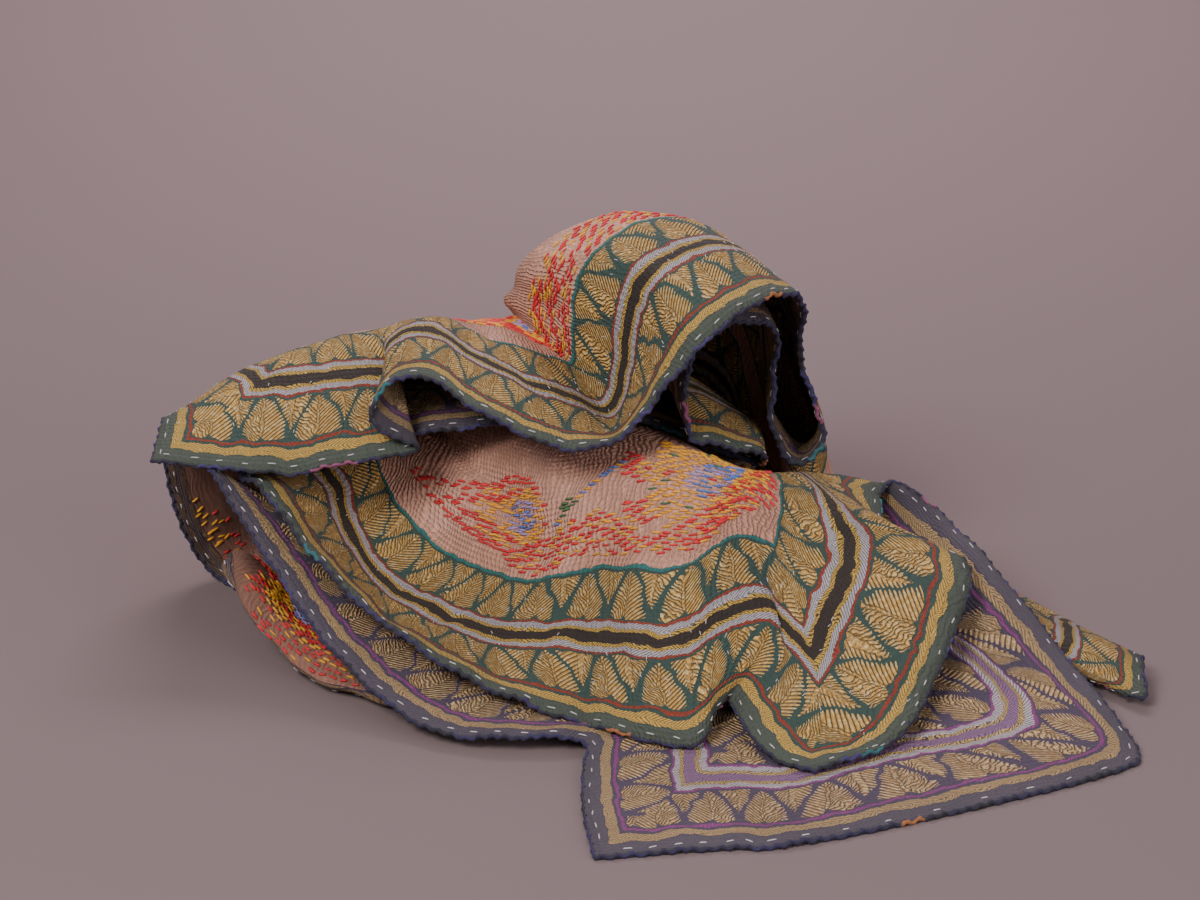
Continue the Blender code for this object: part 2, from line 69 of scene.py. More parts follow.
# Shares of the way along a far side, and with the second number, of the rise at its end.
INSIDE_STEPS = (0.14, 0.28, 0.42, 0.55, 0.68, 0.80, 0.90, 1.0)
WRAP_STEPS = ((0.35, 0.0), (0.6, 0.2), (0.78, 0.45), (0.88, 0.7))
ROLL_STEPS = ((0.4, 0.1), (0.8, 0.75), (0.95, 1.0))

folds = []
fold_names = []


def between(a, b, share):
    """The point the given share of the way from a to b."""
    return tuple(p + (q - p) * share for p, q in zip(a, b))


def wrapped_far(ridge, back, front, level, rolled):
    """Far side of a fold that falls behind the heap and comes forward along the floor."""
    start = (back[0], back[1] - FOOT_TO_TURN)
    side = between(ridge, back + (level,), 0.5)
    fall = (side[0], between(ridge, back, 0.75)[1], between(ridge, back + (level,), 0.45)[2])
    foot = (back[0], back[1], level + LIFT_AT_FOOT)
    turn = (between(back, front, 0.03)[0], start[1], level)

    def forward(share, lift):
        x, y = between(start, front[:2], share)
        return (x, y, level + (front[2] - level) * lift)

    if rolled:
        under_roll = (front[0], front[1], front[2] * 0.6 + FLOOR_LEVEL / 2)
        hem = (front[0] + FLOOR_LEVEL, front[1] + RIM_DROP, FLOOR_LEVEL)
        return [fall, foot, turn] + [forward(*step) for step in ROLL_STEPS] + [under_roll, hem]
    return [fall, foot, turn] + [forward(*step) for step in WRAP_STEPS] + [front]


def fold(name, hem, band, line, field, ridge, far=None, back=None, front=None, level=0.2,
         rolled=False, end=None, dip=None, knee=None):
    """One line across the cloth: six named points on its near side, then nine on its far side."""
    if end is not None:
        far = [between(ridge, end, share) for share in INSIDE_STEPS]
    elif front is not None:
        far = wrapped_far(ridge, back, front, level, rolled)
    dip = dip or between(ridge, far[0], 0.5)
    knee = knee or between(far[2], far[3], 0.5)
    fold_names.append(name)
    folds.append([hem, band, line, field, ridge, dip] + list(far[:3]) + [knee] + list(far[3:]))


print("a fold's far side takes", len(INSIDE_STEPS), "steps from its ridge to its end")

# %% [markdown]
# The upper flap lies on top of the heap. It starts at a corner of the quilt, on the left, and runs
# along the long hem, over a small arch, to the foot of the hood. Behind, its far half falls to the
# floor and is rolled under the heap.

# %% Folds of the upper flap
fold("left edge",
     hem=(-32.5, 8, 14.2), band=(-32.3, 13, 15.6), line=(-33.2, 17, 12.5), field=(-33.2, 18.5, 8),
     ridge=(-32.5, 19, 4.5),
     far=((-31.5, 19.3, 2.2), (-30.2, 19, 0.7), (-28.8, 18, 0.2), (-27.6, 17, 0.2),
          (-26.8, 15.5, 0.2), (-24.5, 13, 0.2), (-23, 10, 0.2), (-21, 7, 0.2)))
fold("left",
     hem=(-27.5, 7.3, 14), band=(-28, 12.8, 17.6), line=(-28.8, 17.5, 16.8),
     field=(-29.2, 21.5, 11), ridge=(-28.8, 23, 6),
     far=((-28.2, 23.5, 3), (-27.5, 22.5, 1), (-26.8, 19, 0.9), (-26.2, 14.5, 2.6), (-27, 9.4, 7.6),
          (-28.8, 6.6, 12), (-29.6, 5.4, 11), (-28.8, 6.0, 8.8)))
fold("left mid",
     hem=(-23, 6.8, 13.8), band=(-23.5, 12.8, 18.8), line=(-24.5, 17.8, 19), field=(-25, 23.5, 14),
     ridge=(-25, 27, 7),
     far=((-24.5, 28, 3.5), (-24, 27.5, 1), (-23.5, 23, 0.7), (-23, 15, 1.6), (-24, 7.6, 4.4),
          (-25.4, 4.4, 6.3), (-25.9, 3.1, 5.2), (-24.9, 4.2, 3.4)))
fold("foot left",
     hem=(-19.8, 6.3, 13.9), band=(-20, 12.4, 18.9), line=(-20.3, 17.6, 20.4),
     field=(-20.5, 25.5, 16), ridge=(-20.5, 29.5, 8),
     far=((-20.2, 30.6, 4.6), (-19.5, 31, 1.9), (-19.6, 28.5, 0.4), (-20.8, 17.7, 0.7),
          (-22.1, 6.9, 2.4), (-22.7, 2.8, 3.7), (-22.9, 1.5, 2.6), (-22.4, 2.6, 1.2)))
fold("tuck under",
     hem=(-7.5, 6.8, 14.2), band=(-12.2, 12.4, 17.9), line=(-17.6, 17.5, 20.7),
     field=(-18, 26, 16.4), ridge=(-18, 30.3, 8),
     back=(-17, 31.8), front=(-20.5, -0.8, 2.2), level=0.2, rolled=True)
fold("tuck foot",
     hem=(-17.6, 5.6, 15.3), band=(-16.4, 11.4, 19.6), line=(-16.2, 17.8, 21.1),
     field=(-16.2, 26.6, 16.6), ridge=(-16, 31, 8),
     back=(-15, 32.6), front=(-18, -2.4, 1.7), level=0.2, rolled=True)
fold("arch left",
     hem=(-17.1, 7.2, 17.9), band=(-15.6, 12.4, 20.9), line=(-14.8, 18, 21.7),
     field=(-14.4, 27, 16.8), ridge=(-14.2, 31.5, 8),
     back=(-13.2, 33.2), front=(-16, -3.5, 1.5), level=0.2, rolled=True)
fold("arch top",
     hem=(-14, 9, 20.6), band=(-13, 14, 21.5), line=(-12.6, 18.7, 21.8), field=(-12.5, 27.3, 17),
     ridge=(-12.5, 32, 8),
     back=(-11.5, 33.6), front=(-14, -5, 1.4), level=0.2, rolled=True)
fold("arch right",
     hem=(-8.5, 5.5, 18.9), band=(-8.7, 11, 21.2), line=(-9.2, 16, 21.7), field=(-8.9, 25.5, 18.5),
     ridge=(-8.5, 32.3, 8),
     back=(-7.5, 34), front=(-9, -8.4, 1.1), level=0.2, rolled=True)
fold("flap right",
     hem=(-2.6, 4.5, 16.4), band=(-3.6, 10.6, 19), line=(-5, 15.2, 20.7), field=(-7, 23, 20.5),
     ridge=(-5, 32, 9),
     back=(-4, 34), front=(-3, -10.2, 1), level=0.2, rolled=True)
print(len(folds), "folds so far, up to", fold_names[-1])

# %% [markdown]
# Then the cloth rises into the hood, which stands by itself because quilted cotton is stiff. At
# its right side it doubles back, and its far half runs out under the corner on the right.

# %% Folds of the hood
fold("hood foot",
     hem=(1.6, 5, 17.3), band=(0.9, 12, 16.2), line=(-1.2, 15.5, 18.2), field=(-6.6, 20.5, 21.8),
     ridge=(-3, 31, 14),
     back=(0, 35), front=(2, -4, 0.2), level=0.2)
fold("hood left",
     hem=(4.2, 5, 20.4), band=(2.4, 11.6, 20.9), line=(-1.6, 15, 22.9), field=(-7.4, 20, 23.2),
     ridge=(-3, 31, 16.5),
     back=(4, 36), front=(8, 4, 0.2), level=0.2)
fold("hood rise",
     hem=(7.2, 5.4, 24), band=(3.5, 10.6, 26.9), line=(-0.5, 14.8, 27.6), field=(-5.7, 20.4, 25.8),
     ridge=(-1, 32, 17),
     back=(7, 36), front=(12, 8, 0.2), level=0.2)
fold("hood top",
     hem=(10.3, 7.5, 25.8), band=(6.1, 13, 28.5), line=(2.7, 17.6, 29.2), field=(-1.4, 22.8, 27.2),
     ridge=(3, 32, 17),
     back=(9, 36), front=(16, 12, 0.2), level=0.2)
fold("hood crown",
     hem=(13.3, 10, 26.3), band=(10.2, 16.5, 27.7), line=(7.8, 21.5, 28.1), field=(5, 28.5, 23.5),
     ridge=(8, 33, 13),
     back=(14, 35), front=(26, 16, 0.2), level=0.2)
fold("hood shoulder",
     hem=(15, 13, 23.9), band=(14.3, 19.5, 22.8), line=(13.3, 24.5, 20.7), field=(13, 30.5, 14),
     ridge=(14.5, 33.5, 8),
     far=((16.5, 34, 5), (19.5, 33.4, 2), (23.5, 30.4, 0.9), (26.5, 26.2, 0.9), (29.5, 20, 0.9),
          (32.5, 13, 0.9), (35, 9, 0.8), (38.3, 3.2, 0.7)))
fold("right wall",
     hem=(15, 15, 19), band=(15.3, 21.5, 17.8), line=(15.6, 26.8, 14.8), field=(16.6, 30, 9),
     ridge=(18.5, 30.5, 5),
     far=((20, 30, 3.4), (22, 28, 2.2), (25, 24, 1.7), (27.5, 20, 1.6), (30.5, 14, 1.6),
          (33, 9, 1.7), (36, 4.5, 1.9), (38.6, 0.8, 2)))
fold("wall foot",
     hem=(16.9, 16, 13.6), band=(17.1, 21.5, 12.6), line=(17.5, 25.5, 10.6),
     field=(18.5, 27.5, 6.5), ridge=(19.6, 27.5, 4),
     far=((21, 26.5, 3.2), (23.2, 24, 2.6), (26, 20, 2.2), (28, 16, 2.1), (30.5, 11, 2),
          (33, 6, 2.1), (35.5, 2.5, 2.1), (38.3, -2, 1.8)))
fold("wall turn",
     hem=(15.4, 15.3, 11.2), band=(15.8, 20.5, 10.8), line=(16, 23.5, 9.5), field=(16.6, 25, 6.5),
     ridge=(17.8, 24.8, 4.4),
     far=((19.8, 23.6, 3.4), (22.4, 21.4, 2.8), (25.2, 18, 2.2), (27.3, 13.5, 2), (29.5, 8, 1.7),
          (31.5, 3, 1.5), (34, 0, 1), (37.5, -4, 0.6)))
print(len(folds), "folds so far, up to", fold_names[-1])

# %% [markdown]
# The cloth turns back inside the hood, follows it round as a lining would, and ends as the floor
# of the hollow. From there it goes left under the flap, where nobody sees it.

# %% Folds inside the hood and under the flap
fold("inner right",
     hem=(12.9, 14.2, 14.2), band=(13.2, 20, 14), line=(13.6, 23, 12.4), field=(14.6, 25, 8.4),
     ridge=(15.4, 25.4, 5.2),
     far=((16.6, 25, 3), (18.2, 24.2, 1.7), (21, 22, 1.2), (24, 18, 1.1), (26.5, 14, 1.1),
          (28.5, 10.5, 1), (30.5, 7, 0.9), (32, 4.5, 0.9)))
fold("inner side",
     hem=(13, 14, 19.2), band=(12.9, 19.5, 19), line=(12.6, 23.6, 17), field=(12.8, 26.8, 12.4),
     ridge=(13.2, 27.6, 9),
     far=((13.8, 27.6, 6), (14.8, 27.2, 3.6), (15.8, 26.4, 2.1), (16.8, 25.4, 1.4),
          (17.8, 24.2, 1.2), (18.6, 23, 1.1), (19.4, 22, 1.1), (20, 21, 1.1)))
fold("inner crown",
     hem=(12.6, 12.6, 23), band=(11.9, 18, 23.6), line=(10.8, 23, 22.4), field=(9.8, 27.6, 17),
     ridge=(9.6, 29.6, 11),
     end=(9.8, 29.4, 7.4))
fold("inner top",
     hem=(9.2, 10, 23.9), band=(7.4, 14.4, 26), line=(5.8, 18.8, 26.2), field=(4.5, 26, 21.5),
     ridge=(5, 30.2, 13),
     end=(5, 30.2, 8.5))
fold("inner left",
     hem=(6.4, 9, 21), band=(4.6, 13.4, 22.2), line=(3.2, 17.4, 22.4), field=(1.5, 25, 19.5),
     ridge=(0.8, 29.8, 12.5),
     end=(0.8, 29.8, 8.5))
fold("inner foot",
     hem=(6.3, 9, 16.6), band=(5, 14, 18.2), line=(4, 18, 19), field=(2.4, 25, 17),
     ridge=(1.4, 28.2, 11.8),
     end=(1.4, 28.1, 8.2))
fold("floor",
     hem=(8.6, 9.6, 14.9), band=(8.3, 15.5, 16.2), line=(8, 20, 15.9), field=(7.2, 25.4, 13.4),
     ridge=(6.9, 27.4, 10),
     end=(7, 27.3, 7))
fold("floor right",
     hem=(12.2, 11.2, 13.4), band=(12.1, 16.5, 13.4), line=(11.9, 21, 12.4),
     field=(11.9, 24.4, 9.6), ridge=(12, 25.2, 7.4),
     end=(12.4, 24.8, 4.6))
# Hidden under the flap, with the reverse upwards.
fold("hidden right",
     hem=(11.4, 13.6, 12), band=(11.2, 16.5, 12), line=(10.8, 19, 11.2), field=(10.6, 21.4, 8.8),
     ridge=(10.8, 22, 6.4),
     far=((10.9, 22, 4.4), (10.9, 21.8, 2.8), (10.8, 21.4, 1.8), (10.7, 20.9, 1.4),
          (10.6, 20.4, 1.25), (10.5, 20, 1.2), (10.4, 19.6, 1.2), (10.3, 19.2, 1.2)))
fold("hidden mid",
     hem=(2, 12.5, 15.9), band=(2, 16, 16.4), line=(1.5, 19.8, 16.1), field=(1, 24.6, 13.4),
     ridge=(1, 26.6, 9),
     far=((1, 26.8, 5.6), (1, 26.5, 3), (0.9, 25.5, 1.8), (0.8, 24.2, 1.4), (0.7, 23.2, 1.3),
          (0.6, 22.2, 1.3), (0.6, 21.3, 1.3), (0.5, 20.5, 1.3)))
fold("hidden left",
     hem=(-12, 10.5, 15.6), band=(-12, 15, 16.6), line=(-12, 19.5, 16.6), field=(-12, 25, 13.6),
     ridge=(-12, 27.4, 8.5),
     far=((-12, 27.7, 5), (-12, 27.2, 2.8), (-12.2, 26, 1.7), (-12.4, 24.6, 1.4),
          (-12.6, 23.4, 1.3), (-12.8, 22.4, 1.3), (-12.9, 21.4, 1.3), (-13, 20.5, 1.3)))
fold("hidden end",
     hem=(-24, 9.5, 13.9), band=(-22.5, 14, 15.6), line=(-21.5, 18.5, 15.6),
     field=(-20.5, 23.8, 12), ridge=(-20.3, 26, 7.8),
     far=((-20.6, 26.6, 4.8), (-21.1, 25.8, 2.8), (-21.5, 24.2, 1.9), (-21.9, 22.2, 1.7),
          (-22.2, 20.4, 1.8), (-22.6, 18.6, 2.1), (-22.9, 17.2, 2.6), (-23.2, 16, 3.2)))
print(len(folds), "folds so far, up to", fold_names[-1])

# %% [markdown]
# At the left the cloth turns once more and comes to the front, right side up, as the large middle
# fold. It ends at the right in two corners: one lies on top, and one underneath shows the reverse.

# %% Folds of the middle and the corners
fold("left turn",
     hem=(-26.3, 8.6, 12.9), band=(-24.5, 13.4, 13.2), line=(-23.5, 17.5, 13),
     field=(-22.5, 22, 10), ridge=(-22.2, 24, 7),
     far=((-22.2, 24.2, 5.4), (-22.4, 23.4, 4.2), (-22.6, 21, 3.8), (-22.8, 18, 4.4),
          (-23.6, 14.2, 6.8), (-25.3, 11.8, 9.8), (-26.8, 10, 11.8), (-28.2, 8.7, 13.4)))
fold("mid left",
     hem=(-24.5, 6.6, 12.9), band=(-20.6, 11.8, 11.2), line=(-18.6, 15, 11.6), field=(-18, 19, 12),
     ridge=(-18.3, 23, 9),
     far=((-19, 24, 5), (-19.5, 22.5, 2.6), (-19.8, 19, 2.4), (-20, 16, 3), (-21, 12, 5.2),
          (-22.5, 9.5, 9), (-24.4, 8.4, 10.8), (-27, 6.4, 12.2)))
fold("mid fold",
     hem=(-21.4, 3, 10.1), band=(-18.7, 9.5, 7.9), line=(-16.2, 13, 8.6), field=(-14.8, 17, 12.2),
     ridge=(-14.5, 22, 12),
     far=((-14.8, 25, 7), (-15.5, 24, 2.4), (-16, 19, 2.2), (-16.4, 14, 2.4), (-17.3, 9, 3.8),
          (-18.8, 6.8, 6.2), (-20.6, 5.4, 8), (-24, 3.2, 8.9)))
fold("mid dip",
     hem=(-16.6, -1, 6.8), band=(-15.8, 6.2, 5.2), line=(-12.3, 9.5, 6.6), field=(-10.5, 13, 12.5),
     ridge=(-10, 20.6, 13.6),
     far=((-10, 24.4, 8), (-10.5, 24.2, 2.6), (-11, 19, 2), (-11.6, 12, 2.2), (-13, 7, 3),
          (-14.5, 3.5, 4), (-17, 1, 4.8), (-20, -1.5, 5.2)))
fold("mid low",
     hem=(-10.6, -5, 4), band=(-11, 1.8, 4.2), line=(-8.4, 6, 5.4), field=(-6.4, 11.5, 13),
     ridge=(-5.5, 19.6, 14),
     far=((-5, 24.2, 9), (-5.3, 24.2, 2.6), (-6, 18, 1.9), (-7, 10, 1.9), (-8.4, 3.5, 2.1),
          (-9.7, -0.5, 2.3), (-12, -3.5, 2.3), (-15.2, -6.2, 2.2)))
fold("mid front",
     hem=(-5.2, -7.6, 2.2), band=(-6.8, -1.1, 4), line=(-5, 3.6, 6), field=(-3.2, 10, 13.6),
     ridge=(-2, 18.6, 14.3),
     far=((-1.5, 23.8, 9), (-1.5, 23.8, 2.6), (-2, 18, 1.9), (-3, 9, 1.7), (-4.2, 1.5, 1.6),
          (-5.2, -2.5, 1.6), (-7.5, -6, 1.5), (-10.5, -9.6, 0.9)))
fold("mid crest",
     hem=(-0.8, -9.3, 1.6), band=(-1.2, -3.2, 4.6), line=(-0.6, 1.2, 8), field=(1, 8.5, 14.6),
     ridge=(2, 17.4, 14.2),
     far=((3, 22.6, 9), (3, 22.8, 2.6), (2.5, 16, 1.9), (1.8, 7, 1.7), (0.8, -1, 1.5), (0, -4, 1.5),
          (-2, -7.5, 1.4), (-5.4, -10.6, 1.2)))
fold("mid right",
     hem=(3.5, -11, 1.2), band=(2.5, -4.9, 5.9), line=(2.8, -1.2, 9.8), field=(5, 7, 14.9),
     ridge=(7.2, 14.6, 12.6),
     far=((8.5, 19.5, 8), (9, 20, 2.4), (8, 13, 1.7), (6.5, 5, 1.4), (5, -2, 1.2), (3.5, -5, 1.2),
          (1.6, -8, 1.2), (-1.2, -10.5, 1)))
fold("corner left",
     hem=(6.8, -11.4, 1.2), band=(6.2, -5.6, 6.6), line=(6.5, -2, 10.6), field=(9.2, 5.6, 14.2),
     ridge=(11.4, 11.3, 11.4),
     far=((14, 15.5, 9), (15, 16.5, 3), (14.5, 10, 1.6), (13, 3, 1.3), (11, -4, 0.9), (8, -7, 0.8),
          (5, -9.5, 0.8), (-1, -13, 0.6)))
fold("corner ridge",
     hem=(8.3, -6.8, 2.3), band=(11.6, -4.3, 6.4), line=(11, 0.2, 10.4), field=(11.9, 6, 12.8),
     ridge=(14, 11.5, 12), dip=(15.6, 13.8, 11.2),
     far=((17, 15, 10.2), (18.5, 14.2, 5), (19.5, 8, 2.6), (20, 1, 1.6), (17.5, -5, 0.8),
          (13, -9, 0.5), (7.2, -11.5, 0.5), (-1.1, -15, 0.4)))
fold("corner band",
     hem=(9.6, -9.3, 1.7), band=(12.6, -7.9, 3.6), line=(14.3, -3.6, 6), field=(15.4, 2.2, 9.8),
     ridge=(17.5, 7.2, 11.4), dip=(17.4, 13, 10.2), knee=(26.6, 0.5, 3),
     far=((19.6, 16.6, 10), (22.8, 11.6, 6.4), (24.5, 5.5, 4.6), (28, -4, 1.6), (25, -9, 0.5),
          (14, -14.8, 0.2), (7.3, -16.4, 0.2), (-1, -19.5, 0.2)))
fold("corner hem",
     hem=(11.4, -12.8, 1), band=(16, -11, 1.8), line=(19.2, -6.5, 4.2), field=(21.6, 3.2, 9.2),
     ridge=(20.6, 7.2, 10), dip=(18.7, 12.8, 9.3), knee=(31.4, -2.2, 2.6),
     far=((21.2, 16.4, 11), (24.4, 11.6, 8.4), (27.2, 6, 6.8), (33.6, -7.6, 0.9),
          (30.8, -12.6, 0.2), (13.3, -20.5, 0.2), (7.3, -21.3, 0.2), (-0.6, -23, 0.2)))
fold("right edge",
     hem=(14.2, -14.4, 0.6), band=(20.2, -10.8, 1.5), line=(23.2, -5.2, 3.3),
     field=(26.6, 3.6, 7.6), ridge=(23.2, 7.6, 7.6), dip=(20, 12.6, 8.5), knee=(33.4, -1.8, 2.4),
     far=((22.3, 16.2, 11.5), (25, 12.4, 9), (28.4, 6.8, 6.8), (36, -9.2, 0.5), (32.8, -14.4, 0.2),
          (13, -23.3, 0.2), (7.3, -24, 0.2), (-0.3, -25.2, 0.2)))

print(len(folds), "folds of", len(folds[0]), "places")

# %% [markdown]
# A smooth surface through the folds is the cloth's middle. A curve that passes through every point
# is used, because the points were found on the cloth itself, and a curve that only comes near them
# would flatten the crests. This is the same surface as the CAD solid's.

# %% A smooth surface through the folds
ROWS = 84
COLUMNS = 29


def spacing(table, axis):
    """Knots along one direction of the table, from the square roots of the mean distances."""
    step = np.sqrt(np.linalg.norm(np.diff(table, axis=axis), axis=2)).mean(axis=1 - axis)
    return np.concatenate([[0.0], np.cumsum(step)])


def smooth_through(points, knots, places):
    """A smooth curve through the rows of points, read at the given places."""
    first = 2 * points[:1] - points[1:2]
    last = 2 * points[-1:] - points[-2:-1]
    p = np.concatenate([first, points, last])
    k = np.concatenate([[2 * knots[0] - knots[1]], knots, [2 * knots[-1] - knots[-2]]])
    i = np.clip(np.searchsorted(knots, places, side="right") - 1, 0, len(points) - 2)

    def mix(a, b, left, right):
        share = ((places - k[left]) / (k[right] - k[left])).reshape((-1, 1, 1))
        return a + (b - a) * share

    a1 = mix(p[i], p[i + 1], i, i + 1)
    a2 = mix(p[i + 1], p[i + 2], i + 1, i + 2)
    a3 = mix(p[i + 2], p[i + 3], i + 2, i + 3)
    b1 = mix(a1, a2, i, i + 2)
    b2 = mix(a2, a3, i + 1, i + 3)
    return mix(b1, b2, i + 1, i + 2)


def sheet(rows, columns):
    """Middle surface of the cloth as a grid of points, in centimetres."""
    table = np.array(folds, dtype=float)
    along = spacing(table, 0)
    across = spacing(table, 1)
    grid = smooth_through(table, along, np.linspace(0.0, along[-1], rows))
    grid = smooth_through(grid.swapaxes(0, 1), across, np.linspace(0.0, across[-1], columns))
    grid = grid.swapaxes(0, 1)
    grid[..., 2] = np.maximum(grid[..., 2], FLOOR_LEVEL)
    return grid


first_sheet = sheet(ROWS, COLUMNS)
print("first sheet has", ROWS, "rows of", COLUMNS, "points")

# %% [markdown]
# A surface has no thickness, and cloth has 3 mm of it here: layers of cotton with their quilting.
# Solidify could give it, but then the front, the back and the rim would be hard to tell apart
# later, so the faces are listed here, the front first, then the back, then the rim.

# %% Thickness and faces
THICKNESS = 0.30
FLAT_BELOW = 0.12           # cloth this near the floor lies flat on it


def normals(grid):
    """Unit normals of the grid."""
    n = np.cross(np.gradient(grid, axis=0), np.gradient(grid, axis=1))
    return n / np.linalg.norm(n, axis=2, keepdims=True)


def thickened(grid, thickness):
    """Points of the upper face, then of the lower face, of the cloth."""
    half = normals(grid) * thickness / 2
    return np.concatenate([(grid + half).reshape(-1, 3), (grid - half).reshape(-1, 3)])


def laid_flat(points):
    """The points with the underside flat on the floor wherever the cloth touches it."""
    flat = points.copy()
    flat[flat[:, 2] < FLAT_BELOW, 2] = 0.0
    return flat


def sheet_faces(rows, columns):
    """Triangles of both faces and of the rim that closes them, facing outwards."""
    index = np.arange(rows * columns).reshape(rows, columns)
    a, b = index[:-1, :-1].ravel(), index[1:, :-1].ravel()
    c, d = index[1:, 1:].ravel(), index[:-1, 1:].ravel()
    face = np.concatenate([np.stack([a, b, c], -1), np.stack([a, c, d], -1)])
    count = rows * columns
    edge = np.concatenate([index[:, 0], index[-1, 1:], index[-2::-1, -1], index[0, -2:0:-1]])
    after = np.roll(edge, -1)
    rim = np.concatenate([np.stack([after, edge, edge + count], -1),
                          np.stack([after, edge + count, after + count], -1)])
    return np.concatenate([face, face[:, ::-1] + count, rim])


print("first sheet has", len(sheet_faces(ROWS, COLUMNS)), "triangles")

# %% [markdown]
# Folded cloth touches itself but never cuts through itself, so layers that come too near are eased
# apart, and folds that are pinched too sharply for their thickness are rounded. A cloth simulation
# could do it too, but it would also let the hood fall, which stiff old quilting doesn't.

# %% Layers eased apart
CLEAR_THICKNESS = 0.34      # layers nearer than this are moved
EASE_STEP = 0.10            # cm a point moves in one round
EASE_SMOOTH = 0.35          # share that a pinched fold is rounded in one round
EASE_ROUNDS = 400
PINCH_ROWS = 1.2            # faces no further apart than this on the sheet are one pinched fold
PINCH_COLUMNS = 1.5
BACK_TO_BACK = -0.2


def crowded(points, faces, count):
    """Pairs of faces that cut through one another, as grid points."""
    tree = BVHTree.FromPolygons(points.tolist(), faces.tolist(), epsilon=0.0)
    pairs = np.array([p for p in tree.overlap(tree) if p[0] < p[1]], dtype=int).reshape(-1, 2)
    one, other = faces[pairs[:, 0]], faces[pairs[:, 1]]
    shared = (one[:, :, None] == other[:, None, :]).any(axis=(1, 2))
    return one[~shared] % count, other[~shared] % count


def blurred(values):
    """The grid of values, each one mixed with its neighbours along and across."""
    for axis in (0, 1):
        size = values.shape[axis]
        padded = np.concatenate([np.take(values, [0], axis), values,
                                 np.take(values, [-1], axis)], axis)
        before = np.take(padded, range(size), axis)
        after = np.take(padded, range(2, size + 2), axis)
        values = (before + 2 * values + after) / 4
    return values


def eased_apart(grid):
    """The grid with crowded layers moved apart and pinched folds rounded."""
    rows, columns = grid.shape[:2]
    count = rows * columns
    faces = sheet_faces(rows, columns)
    for _ in range(EASE_ROUNDS):
        one, other = crowded(laid_flat(thickened(grid, CLEAR_THICKNESS)), faces, count)
        if len(one) == 0:
            one, other = crowded(laid_flat(thickened(grid, THICKNESS)), faces, count)
        if len(one) == 0:
            break
        row_gap = np.abs((one // columns).mean(1) - (other // columns).mean(1))
        column_gap = np.abs((one % columns).mean(1) - (other % columns).mean(1))
        points = grid.reshape(-1, 3)
        every_normal = normals(grid).reshape(-1, 3)
        normal = every_normal[one].mean(1)
        facing = (normal * every_normal[other].mean(1)).sum(1)
        pinched = (row_gap < PINCH_ROWS) & (column_gap < PINCH_COLUMNS) & (facing > BACK_TO_BACK)
        side = np.sign(((points[one].mean(1) - points[other].mean(1)) * normal).sum(1))
        push = side[:, None] * normal
        move = np.zeros((count, 3))
        round_off = np.zeros(count)
        for corner in range(3):
            np.add.at(move, one[~pinched, corner], push[~pinched])
            np.add.at(move, other[~pinched, corner], -push[~pinched])
            round_off[one[pinched, corner]] = 1.0
            round_off[other[pinched, corner]] = 1.0
        move /= np.maximum(np.linalg.norm(move, axis=1, keepdims=True), 1e-9)
        move = blurred(blurred(move.reshape(rows, columns, 3)))
        round_off = np.minimum(2 * blurred(round_off.reshape(rows, columns, 1)), 1.0)
        grid = grid + move * EASE_STEP + (blurred(grid) - grid) * round_off * EASE_SMOOTH
        grid[..., 2] = np.maximum(grid[..., 2], FLOOR_LEVEL)
    return grid


folded = eased_apart(first_sheet)
lows = laid_flat(thickened(folded, THICKNESS)).min(axis=0)
highs = laid_flat(thickened(folded, THICKNESS)).max(axis=0)
folded[..., :2] -= ((lows + highs) / 2)[:2]
print("cloth measures", (highs - lows).round(1), "cm")

# %% [markdown]
# The embroidery follows the hems, so every point of the cloth has to know how far it is from each
# of the four hems, and how far along each hem it lies. Both are measured over the cloth, as
# a tape laid on it would, so that the border keeps its width round every fold.

# %% Finer cloth, measured from its hems
FINE_ROWS = 333
FINE_COLUMNS = 141
MEASURE_AT = 4.0            # cm from a hem, where lengths along it are read
ROWS_IN = 6                 # rows from the first short side, where lengths along it are read
ROWS_BACK = 14              # rows from the last short side, for the same
WIDE_END = 1.2              # the border on the last short side is this many times as wide
SNUG = 0.36                 # depths count for up to this share more between arch and hood
TIGHT = 7.0                 # the same where the cloth is rolled out of sight
START_ENDS = (15, 20)       # cm from the near hem, where the first short side's border ends
START_ENDS_BEHIND = (7, 11)


def finer(values, rows, columns):
    """The grid of values, smoothly filled in to more rows and columns."""
    high = smooth_through(values, np.arange(len(values)), np.linspace(0, len(values) - 1, rows))
    high = high.swapaxes(0, 1)
    wide = smooth_through(high, np.arange(len(high)), np.linspace(0, len(high) - 1, columns))
    return wide.swapaxes(0, 1)


def soft_step(values, low, high):
    """0 below low, 1 above high, and a smooth ramp between."""
    share = np.clip((values - low) / (high - low), 0, 1)
    return share * share * (3 - 2 * share)


def measured(steps, axis):
    """Running length along an axis of the grid."""
    start = np.zeros_like(np.take(steps, [0], axis))
    return np.concatenate([start, np.cumsum(steps, axis)], axis)


cloth = finer(folded, FINE_ROWS, FINE_COLUMNS)
from_near = measured(np.linalg.norm(np.diff(cloth, axis=1), axis=2), 1)
from_far = from_near[:, -1:] - from_near
from_start = measured(np.linalg.norm(np.diff(cloth, axis=0), axis=2), 0)
from_end = from_start[-1:] - from_start


def line_at(depths, depth):
    """Length along the cloth of the line that stays one depth from a hem."""
    spots = []
    for row, places in zip(cloth, depths):
        order = np.argsort(places)
        spots.append([np.interp(depth, places[order], row[order, k]) for k in range(3)])
    return measured(np.linalg.norm(np.diff(np.array(spots), axis=0), axis=1), 0)


